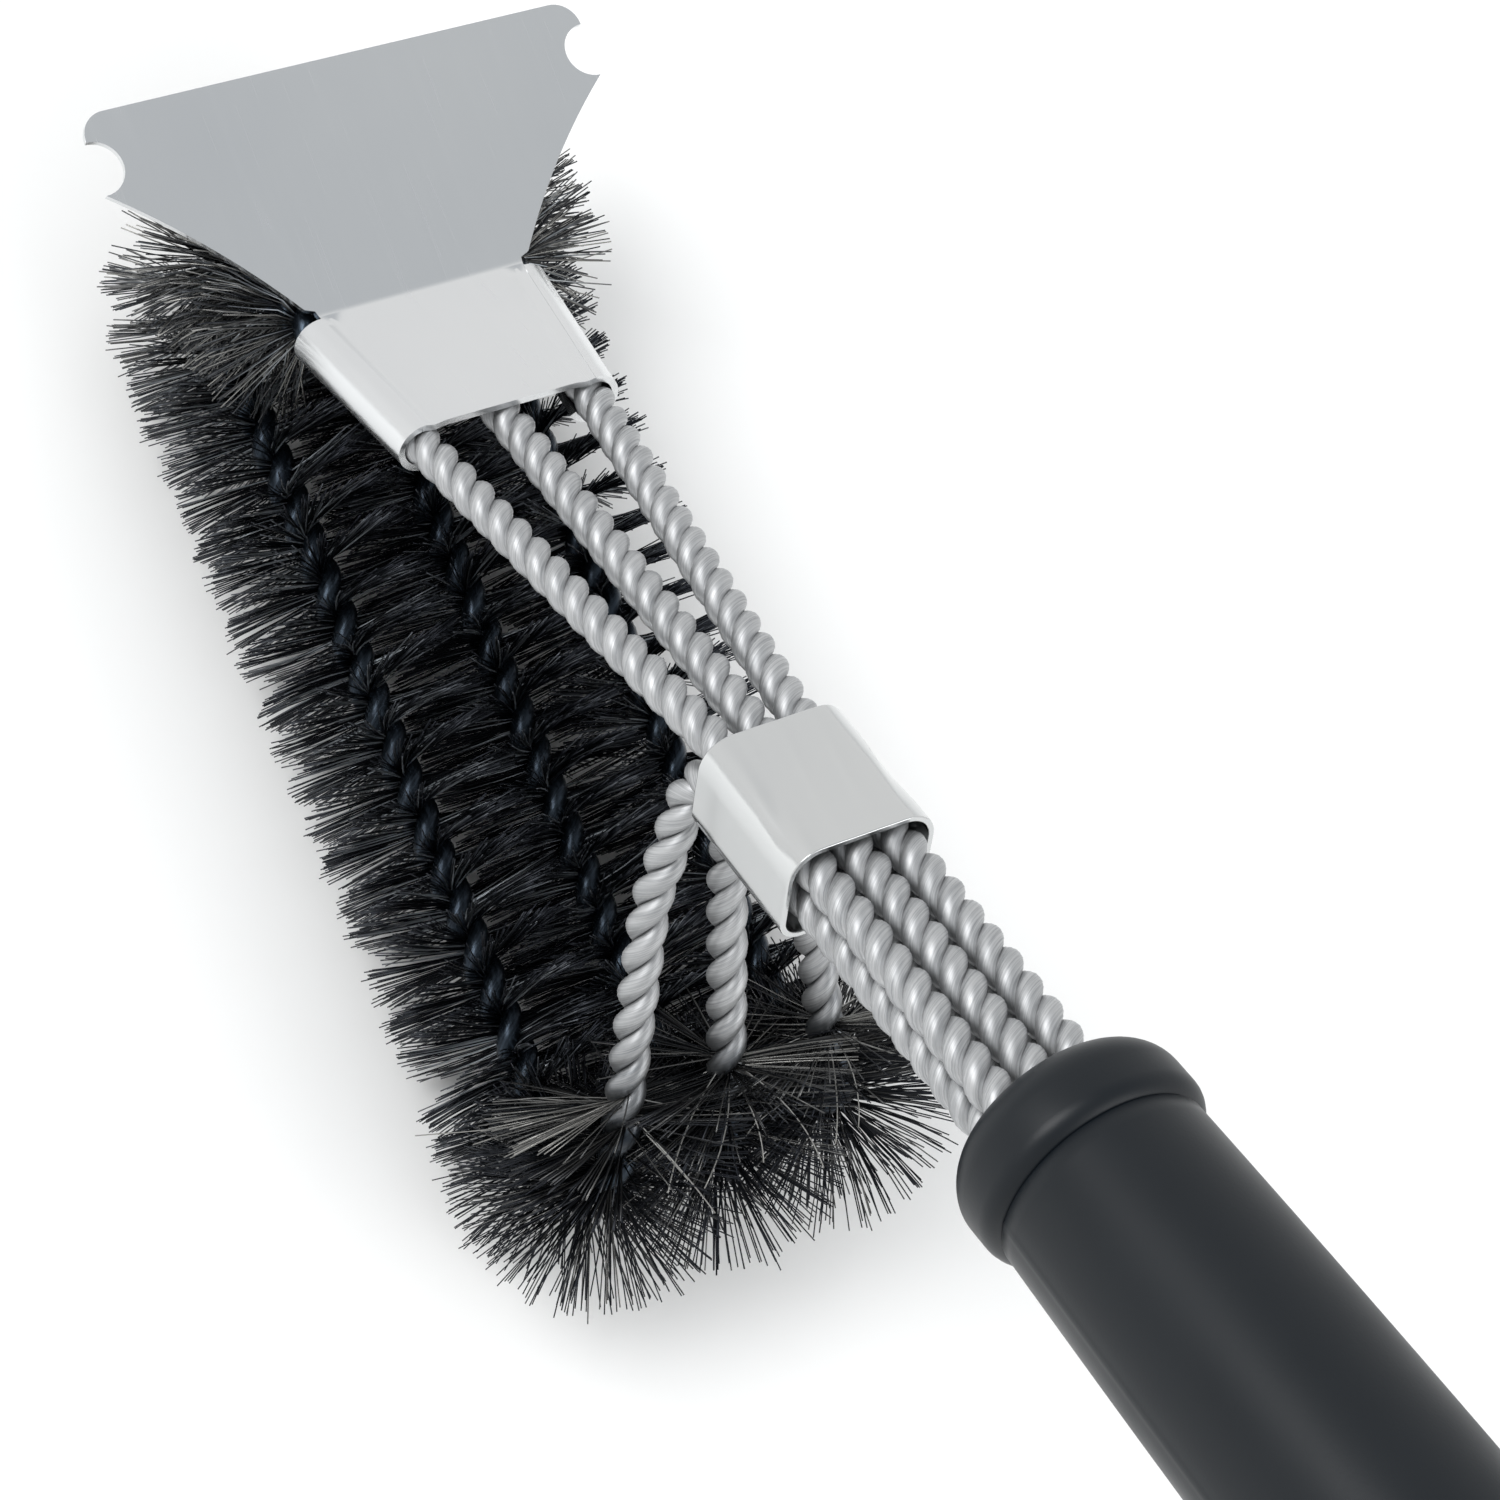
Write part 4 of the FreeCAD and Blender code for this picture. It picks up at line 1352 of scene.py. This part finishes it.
@dataclass
class Scraper:
    """One pressed sheet: a sleeve round the three ropes and a notched blade ahead of it.

    Attributes:
        finish: The sheet's finish.
        thickness: Thickness of the sheet.
        wall: Radius of the sleeve's curls inside.
        mouth: Where the sleeve starts, in front of the collar's mouth.
        length: Length of the sleeve.
        lip_angle: How far the sheet carries on under an outer rope.
        bend_radius: Inner radius of the bend between the sleeve and the blade.
        bend_flare: How much wider the sheet gets to each side in the bend.
        rise: How far the blade tilts up from the ground.
        blade_length: Length of the blade from the bend.
        half_width: Half the blade's width.
        root_half_width: Half its width at the bend.
        side_hollow: How far its slanted sides curve in.
        corner_radius: Radius of its front corners.
        notch_radius: Radius of the two grate notches.
        notch_station: How far from the bend their middles are.
        edge_round: Rounding of the sheet's edges.
        crease_inset: How far inside a curl's middle the sleeve's crease runs.
        crease_width: Width of the crease.
        crease_depth: Depth of the crease.
        flat_columns: Vertices across the flat between the curls.
        curl_columns: Vertices round a curl.
        sleeve_steps: Rows of vertices along the sleeve.
        bend_steps: Rows of vertices in the bend, with the sleeve's last.
        side_steps: Rows of vertices along the blade's slanted sides.
        notch_steps: Rows of vertices along the notches.
        corner_steps: Rows of vertices along the front corners.
    """

    finish: StainlessSheet
    thickness: float = 1.0
    wall: float = 3.15
    mouth: float = 73.0
    length: float = 28.1
    lip_angle: float = math.radians(62.0)
    bend_radius: float = 2.5
    bend_flare: float = 0.3
    rise: float = math.radians(3.5)
    blade_length: float = 37.6
    half_width: float = 40.8
    root_half_width: float = 17.6
    side_hollow: float = 1.2
    corner_radius: float = 4.0
    notch_radius: float = 4.2
    notch_station: float = 29.3
    edge_round: float = 0.22
    crease_inset: float = 1.4
    crease_width: float = 1.2
    crease_depth: float = 0.3
    flat_columns: int = 44
    curl_columns: int = 26
    sleeve_steps: int = 12
    bend_steps: int = 7
    side_steps: int = 22
    notch_steps: int = 20
    corner_steps: int = 12

    @property
    def flat_shares(self) -> np.ndarray:
        """Places across the sheet's flat, from 1 at the left to -1, closer near its sides."""
        return np.sin(np.linspace(QUARTER, -QUARTER, self.flat_columns))

    def sleeve(self) -> list[np.ndarray]:
        """Bends the sheet's outer face round the ropes.

        Returns:
            Rows of places across the sleeve, each as along, side and above.
        """
        outer = self.wall + self.thickness
        sweep = np.linspace(math.pi + QUARTER + self.lip_angle, QUARTER, self.curl_columns)
        curl_above = outer * np.sin(sweep)
        rows = []
        for along in np.linspace(self.mouth, self.mouth + self.length, self.sleeve_steps):
            centre = DATUM.fan(along)
            curl_side = centre - outer * np.cos(sweep)
            flat = centre * self.flat_shares[1:-1]
            inset = (centre - np.abs(flat) - self.crease_inset) / self.crease_width
            creased = outer - self.crease_depth * np.exp(-(inset**2))
            side = np.concatenate([curl_side, flat, -curl_side[::-1]])
            above = np.concatenate([curl_above, creased, curl_above[::-1]])
            rows.append(np.stack([np.full(len(side), along), side, above], 1))
        return rows

    def blade_edge(self) -> list[np.ndarray]:
        """Draws the blade's left edge from the bend to the front.

        Returns:
            Pairs of distance from the bend and half-width.
        """
        notch, station, width = self.notch_radius, self.notch_station, self.half_width
        corner, length = self.corner_radius, self.blade_length
        start = np.array([0.0, self.root_half_width])
        chord = np.array([station - notch, width]) - start
        outward = unit(np.array([-chord[1], chord[0]]))
        edge = []
        for share in np.linspace(0, 1, self.side_steps):
            bow = 4 * self.side_hollow * share * (1 - share)
            edge.append(start + chord * share - outward * bow)
        arcs = (
            (station, width, notch, np.linspace(math.pi, FULL, self.notch_steps)[1:]),
            (length - corner, width - corner, corner, np.linspace(QUARTER, 0, self.corner_steps)),
        )
        for reach, half, radius, angles in arcs:
            for angle in angles:
                round_off = radius * np.array([math.cos(angle), math.sin(angle)])
                edge.append(np.array([reach, half]) + round_off)
        return edge

    def flat_row(self, along: float, half: float, above: float) -> np.ndarray:
        """One row of places straight across the sheet."""
        side = self.flat_shares * half
        return np.stack([np.full(len(side), along), side, np.full(len(side), above)], 1)

    def blade(self) -> tuple[float, list[np.ndarray]]:
        """Bends the sheet ahead of the sleeve and cuts it to the blade's outline.

        Returns:
            How much of the sleeve the bend takes, and rows of places across the blade.
        """
        outer, bend_at = self.wall + self.thickness, self.mouth + self.length
        turn = DATUM.slope + self.rise
        taken = self.bend_radius * math.tan(turn / 2)
        rows = []
        for portion in np.linspace(0, 1, self.bend_steps)[1:]:
            angle = turn * portion
            along = bend_at - taken + self.bend_radius * math.sin(angle)
            above = outer + self.bend_radius * (1 - math.cos(angle))
            rows.append(self.flat_row(along, DATUM.fan(bend_at) + self.bend_flare * portion, above))
        for reach, half in self.blade_edge():
            if reach > taken:
                along, above = bend_at + reach * math.cos(turn), outer + reach * math.sin(turn)
                rows.append(self.flat_row(along, half, above))
        return taken, rows

    def build(self) -> bpy.types.Object:
        """Makes the scraper as one sheet with rounded edges.

        Returns:
            The piece, dressed and riding on the brush.
        """
        sleeve = self.sleeve()
        taken, blade = self.blade()
        sleeve[-1][:, 0] -= taken
        columns, width = len(sleeve[0]), self.flat_columns
        count = len(sleeve) * columns
        seam = count - columns + self.curl_columns - 1 + np.arange(width)
        ahead = count + np.arange(width)
        joined = np.stack([seam[:-1], seam[1:], ahead[1:], ahead[:-1]], 1)
        quads = [grid_quads(len(sleeve), columns, False), joined]
        quads.append(grid_quads(len(blade), width, False, count))
        placed = DATUM.placed(np.concatenate(sleeve + blade))
        piece = new_piece("scraper_sheet", placed, np.concatenate(quads))
        thicken(piece, self.thickness, self.edge_round, even=True)
        return place_piece(piece, self.finish, "stainless_sheet", "scraper")


@dataclass
class Collar:
    """The strip of polished sheet that binds the six ropes.

    Attributes:
        finish: The band's finish.
        length: Length along the ropes.
        thickness: Thickness of the strip.
        half_width: Half its inner width.
        above: Height of its inner top over the upper ropes' middles.
        below: Depth of its inner bottom under the same.
        top_radius: Outer radius of the shoulders.
        bottom_radius: Outer radius of the lower corners.
        dent: Depth of the soft dents that closing the band leaves.
        dent_rate: How close the dents are across the band.
        dent_drift: How far they move across from its front to its back.
        dent_start: Where they start.
        edge_round: Rounding of the strip's edges.
        corner_steps: Places round a corner before the outline is evened out.
        outline_count: Vertices round the band.
        length_steps: Rows of vertices along it.
    """

    finish: StainlessSheet
    length: float = 23.3
    thickness: float = 0.9
    half_width: float = 9.55
    above: float = 3.15
    below: float = 9.25
    top_radius: float = 4.0
    bottom_radius: float = 2.6
    dent: float = 0.32
    dent_rate: float = 1.1
    dent_drift: float = 5.0
    dent_start: float = 0.8
    edge_round: float = 0.2
    corner_steps: int = 12
    outline_count: int = 120
    length_steps: int = 25

    def section(self) -> np.ndarray:
        """Draws the band's outer outline across the ropes.

        Returns:
            Evenly spaced places, each as side and height.
        """
        reach = self.half_width + self.thickness
        outline = []
        for quarter, (across, up) in enumerate(((1, 1), (-1, 1), (-1, -1), (1, -1))):
            radius = self.top_radius if up > 0 else self.bottom_radius
            height = self.above if up > 0 else self.below
            side = across * (reach - radius)
            level = up * (height + self.thickness - radius)
            start = quarter * QUARTER
            for angle in np.linspace(start, start + QUARTER, self.corner_steps):
                outline.append((side + radius * math.cos(angle), level + radius * math.sin(angle)))
        closed = np.array(outline + outline[:1])
        lengths = np.linalg.norm(np.diff(closed, axis=0), axis=1)
        distance = np.concatenate([[0.0], np.cumsum(lengths)])
        even = np.linspace(0, distance[-1], self.outline_count, endpoint=False)
        return np.stack([np.interp(even, distance, closed[:, axis]) for axis in (0, 1)], 1)

    def build(self) -> bpy.types.Object:
        """Makes the band with its soft dents.

        Returns:
            The piece, dressed and riding on the brush.
        """
        outline = self.section()
        radial = unit(outline - outline.mean(0))
        rows = []
        for share in np.linspace(0, 1, self.length_steps):
            wave = outline[:, 0] * self.dent_rate - self.dent_drift * share + self.dent_start
            ripple = np.cos(wave) * math.sin(math.pi * share)
            outer = outline - self.dent * np.clip(ripple, 0, 1)[:, None] * radial
            rows.append(np.column_stack([np.full(len(outer), -share * self.length), outer]))
        quads = grid_quads(len(rows), len(outline), True)
        piece = new_piece("collar_band", DATUM.placed(np.concatenate(rows)), quads)
        thicken(piece, self.thickness, self.edge_round, even=False)
        return place_piece(piece, self.finish, "polished_band", "collar")


# ------------------------------------------------------------------ handle


@dataclass
class Handle:
    """The moulded ferrule and grip.

    Attributes:
        finish: The plastic's finish.
        bead_radius: Largest radius of the ferrule.
        bead_length: Length of the ferrule.
        bead_round: Rounding of its front edge.
        rear_round: Rounding of its rear edge.
        grip_length: Length of the grip behind it.
        front_radius: Radius of the grip's front end.
        end_radius: Radius of its rear end.
        crown_radius: Radius of the grip's slight swell along its length.
        seam_height: Height of the mould's parting lines.
        seam_width: Width of the parting lines.
        lip_depth: How far the grip's front lip stands inside the ferrule.
        lip_step: How far the lip stands in from the grip's surface.
        slot_half_width: Half the width of the slot for the ropes.
        slot_half_height: Half its height.
        slot_power: How square the slot's corners are.
        slot_lips: Depth in the slot and how far it opens out there, from the back.
        face_shares: Rings on the front face, from the slot to the rounding.
        face_step: The least distance from the slot to the first ring.
        bead_step: The least distance from the slot to the rounding.
        ripples: Height, count and start of the waves that cooling leaves in the bead.
        ripple_drift: How far the second wave turns for each millimetre back.
        ripple_ease: How far back the waves are at their full height.
        wall: Thickness of the moulding.
        crisp: Edges that turn by more than this many degrees stay crisp, on the ferrule and
            on the grip.
        segments: Vertices round the handle.
        front_steps: Rings round the ferrule's front edge.
        rear_steps: Rings round its rear edge.
        grip_steps: Rings along the grip.
    """

    finish: MouldedPlastic
    bead_radius: float = 16.5
    bead_length: float = 12.5
    bead_round: float = 6.0
    rear_round: float = 3.0
    grip_length: float = 220.0
    front_radius: float = 15.1
    end_radius: float = 15.0
    crown_radius: float = 3600.0
    seam_height: float = 0.12
    seam_width: float = 0.5
    lip_depth: float = 0.6
    lip_step: float = 0.5
    slot_half_width: float = 9.7
    slot_half_height: float = 6.35
    slot_power: float = 5.0
    slot_lips: tuple[tuple[float, float], ...] = ((7.0, 0.0), (1.2, 0.0), (0.45, 0.25), (0.1, 0.8))
    face_shares: tuple[float, ...] = (0.35, 0.7)
    face_step: float = 0.2
    bead_step: float = 0.3
    ripples: tuple[tuple[float, int, float], ...] = ((0.10, 3, 0.7), (0.07, 5, 0.0))
    ripple_drift: float = 0.4
    ripple_ease: float = 4.0
    wall: float = 2.9
    crisp: tuple[float, float] = (60.0, 50.0)
    segments: int = 160
    front_steps: int = 14
    rear_steps: int = 9
    grip_steps: int = 90

    def turned(
        self,
        name: str,
        profile: list[tuple[float, float]],
        shape: Callable[[np.ndarray, int, float, float], np.ndarray],
    ) -> bpy.types.Object:
        """Turns a profile about the handle's axis.

        Args:
            name: The piece's name.
            profile: Distance behind the ferrule's front face and radius, in order.
            shape: Gives a ring's radii, from the angles, the ring's number, its distance
                behind the front face and the profile's radius.

        Returns:
            The new piece.
        """
        angle = circle(self.segments)
        middle = DATUM.stem(-DATUM.bare_length, 0.0, -DATUM.layer_spacing / 2)
        spokes = swung(angle, LEFTWARD, DATUM.upward)
        rows = [
            middle - back * DATUM.ahead + shape(angle, index, back, radius)[:, None] * spokes
            for index, (back, radius) in enumerate(profile)
        ]
        quads = grid_quads(len(rows), self.segments, True)[:, ::-1]
        rim = np.arange(self.segments)
        tail = rim + (len(rows) - 1) * self.segments
        caps = [rim.tolist(), tail[::-1].tolist()]
        return new_piece(name, np.concatenate(rows), quads, caps)

    def slot_ring(self, angle: np.ndarray) -> np.ndarray:
        """Works out the rope slot's rounded outline.

        Args:
            angle: Directions from the handle's axis.

        Returns:
            The outline's radius in each.
        """
        wide = np.abs(np.cos(angle) / self.slot_half_width) ** self.slot_power
        high = np.abs(np.sin(angle) / self.slot_half_height) ** self.slot_power
        return (wide + high) ** (-1 / self.slot_power)

    def ferrule_ring(
        self, angle: np.ndarray, index: int, back: float, radius: float
    ) -> np.ndarray:
        """Blends the slot's outline into the round nose.

        Args:
            angle: Directions from the handle's axis.
            index: The ring's number, counted from inside the slot.
            back: Its distance behind the front face.
            radius: The profile's radius.

        Returns:
            The ring's radius in each direction.
        """
        slot, lips = self.slot_ring(angle), len(self.slot_lips)
        if index < lips:
            return slot + self.slot_lips[index][1]
        start = slot + self.slot_lips[-1][1]
        if index < lips + len(self.face_shares):
            edge = self.bead_radius - self.bead_round
            ring = start + (edge - start) * self.face_shares[index - lips]
            return np.maximum(start + self.face_step, ring)
        (low, few, turn), (high, many, _) = self.ripples
        wave = low * np.sin(few * angle + turn)
        wave += high * np.sin(many * angle - back * self.ripple_drift)
        grown = np.maximum(radius, start + self.bead_step)
        return grown + wave * np.clip(back / self.ripple_ease, 0, 1)

    def grip_ring(self, angle: np.ndarray, index: int, back: float, radius: float) -> np.ndarray:
        """Raises the mould's fine parting line on both sides of a ring."""
        from_side = np.abs(np.sin(angle)) * radius
        return radius + self.seam_height * np.exp(-((from_side / self.seam_width) ** 2))

    def build_ferrule(self) -> bpy.types.Object:
        """Makes the rounded nose with its slot closing on the ropes.

        Returns:
            The piece, dressed and riding on the brush.
        """
        profile = [(depth, 0.0) for depth, _ in self.slot_lips]
        profile += [(0.0, 0.0) for _ in self.face_shares]
        for angle in np.linspace(0, QUARTER, self.front_steps):
            back = self.bead_round * (1 - math.cos(angle))
            profile.append((back, self.bead_radius - self.bead_round * (1 - math.sin(angle))))
        rear = self.bead_length - self.rear_round
        for angle in np.linspace(0, QUARTER, self.rear_steps):
            radius = self.bead_radius - self.rear_round * (1 - math.cos(angle))
            profile.append((rear + self.rear_round * math.sin(angle), radius))
        profile.append((self.bead_length, self.front_radius - self.wall))
        piece = self.turned("ferrule_moulding", profile, self.ferrule_ring)
        sharpen(piece, self.crisp[0])
        return place_piece(piece, self.finish, "handle_plastic", "front_ferrule")

    def build_grip(self) -> bpy.types.Object:
        """Makes the long grip with its slight crown and the mould's parting lines.

        Returns:
            The piece, dressed and riding on the brush.
        """
        run, front, end = self.grip_length, self.front_radius, self.end_radius
        sag = run * run / 8 / self.crown_radius
        lip = self.bead_length - self.lip_depth
        profile = [(lip, front - self.wall), (lip, front - self.lip_step)]
        profile.append((self.bead_length, front))
        for share in np.linspace(0, 1, self.grip_steps)[1:]:
            radius = front + (end - front) * share + 4 * sag * share * (1 - share)
            profile.append((self.bead_length + run * share, radius))
        profile.append((self.bead_length + run, end - self.wall))
        piece = self.turned("grip_moulding", profile, self.grip_ring)
        sharpen(piece, self.crisp[1])
        return place_piece(piece, self.finish, "handle_plastic", "grip")


# ------------------------------------------------------------------ studio


@dataclass
class Studio:
    """A plain pale floor, soft light and the camera over the brush.

    Attributes:
        aim: The place on the brush that the camera looks at.
        distance: How far the camera stands from it.
        azimuth: The camera's direction from it, seen from above.
        elevation: The camera's height above the horizon.
        roll: How far the camera is turned about its own axis.
        lens: Focal length.
        clip: Nearest and furthest distance that the camera shows, in metres.
        floor_size: Width of the floor.
        horizon: Colour of the light from low down.
        zenith: Colour of the light from overhead.
        sky_change: Heights of a direction between which one turns to the other.
        sky_strength: Strength of the surrounding light.
        softbox_size: Width of the softboxes.
        softboxes: Place and power of each, in watts.
    """

    aim: tuple[float, float, float] = (92.84, -33.77, 16.0)
    distance: float = 635.96
    azimuth: float = math.radians(110.141)
    elevation: float = math.radians(62.258)
    roll: float = math.radians(-48.968)
    lens: float = 99.27
    clip: tuple[float, float] = (0.01, 20.0)
    floor_size: float = 9000.0
    horizon: str = "#ffffff"
    zenith: str = "#d0d3d6"
    sky_change: tuple[float, float] = (0.35, 0.85)
    sky_strength: float = 0.95
    softbox_size: float = 900.0
    softboxes: tuple[tuple[str, tuple[float, float, float], float], ...] = (
        ("key_softbox", (700.0, 900.0, 1300.0), 16.0),
        ("fill_softbox", (-900.0, -500.0, 1000.0), 6.0),
    )

    def camera(self) -> None:
        """Places the camera."""
        level, height = math.cos(self.elevation), math.sin(self.elevation)
        toward = Vector((level * math.cos(self.azimuth), level * math.sin(self.azimuth), height))
        forward = -toward
        right = forward.cross(Vector((0, 0, 1))).normalized()
        up = right.cross(forward) * math.cos(self.roll) + right * math.sin(self.roll)
        data = bpy.data.cameras.new("camera")
        data.lens = self.lens
        data.clip_start, data.clip_end = self.clip
        camera = bpy.data.objects.new("camera", data)
        bpy.context.scene.collection.objects.link(camera)
        turn = Matrix((forward.cross(up), up, -forward)).transposed().to_4x4()
        place = (Vector(self.aim) + toward * self.distance) * MM
        camera.matrix_world = Matrix.Translation(place) @ turn
        bpy.context.scene.camera = camera

    def floor(self) -> None:
        """Lays the pale floor."""
        signs = ((-1, -1, 0), (1, -1, 0), (1, 1, 0), (-1, 1, 0))
        corners = np.array(signs) * self.floor_size / 2
        floor = new_piece("floor", corners, np.array([[0, 1, 2, 3]]))
        floor.data.materials.append(StudioVinyl().material())

    def sky(self) -> None:
        """Surrounds the brush with light that is brightest near the horizon."""
        world = bpy.data.worlds.new("studio_surround")
        world.use_nodes = True
        tree = world.node_tree
        tree.nodes.clear()
        direction = add_node(tree, "TexCoord", out="Generated")
        height = add_node(tree, "SeparateXYZ", {"Vector": direction}, "Z")
        low, high = self.sky_change
        change = {"Value": height, "From Min": low, "From Max": high}
        share = add_node(tree, "MapRange", change, interpolation_type="SMOOTHSTEP")
        colours = {FIRST: linear(self.horizon), SECOND: linear(self.zenith)}
        colour = add_node(tree, "Mix", {SHARE: share, **colours}, MIXED, data_type="RGBA")
        light = add_node(tree, "Background", {"Color": colour, "Strength": self.sky_strength})
        add_node(tree, "OutputWorld", {"Surface": light})
        bpy.context.scene.world = world

    def lamps(self) -> None:
        """Hangs the square softboxes, which face the brush."""
        for name, place, power in self.softboxes:
            data = bpy.data.lights.new(name, "AREA")
            data.shape, data.size, data.energy = "SQUARE", self.softbox_size * MM, power
            lamp = bpy.data.objects.new(name, data)
            bpy.context.scene.collection.objects.link(lamp)
            lamp.location = Vector(place) * MM
            look = Vector(self.aim) * MM - lamp.location
            lamp.rotation_euler = look.to_track_quat("-Z", "Y").to_euler()

    def build(self) -> None:
        """Sets up the floor, the light and the camera."""
        bpy.context.scene.view_settings.view_transform = "Standard"
        self.floor()
        self.sky()
        self.lamps()
        self.camera()


# ------------------------------------------------------------------ main


def main() -> None:
    """Builds the brush from the scraper to the hanging loop, then the studio."""
    logging.basicConfig(level=logging.INFO, format="%(message)s")
    plastic, steel = MouldedPlastic(), BrightDrawnSteel()
    # The band's second colour is that of its painted reflection clouds.
    band = StainlessSheet("stainless_strip_polished", "#d2d3d2", "#c8cacb", roughness=0.20)
    made = [Scraper(StainlessSheet()).build(), Collar(band).build()]
    for row in Row:
        stem = Stem(row, DrawnWire())
        made += [stem.build(run) for run in Run]
        bristles = BristleRow(stem, BristleWire())
        made += [bristles.build(), Strays(bristles).build()]
    handle = Handle(plastic)
    made += [handle.build_ferrule(), handle.build_grip()]
    for node in ("end_cap", "wire_socket"):
        dress_node(node, plastic)
    for node in ("socket_pin", "hang_loop"):
        dress_node(node, steel)
    for piece in made:
        log.info("%s: %d faces", piece.name, len(piece.data.polygons))
    Studio().build()


if __name__ == "__main__":
    main()
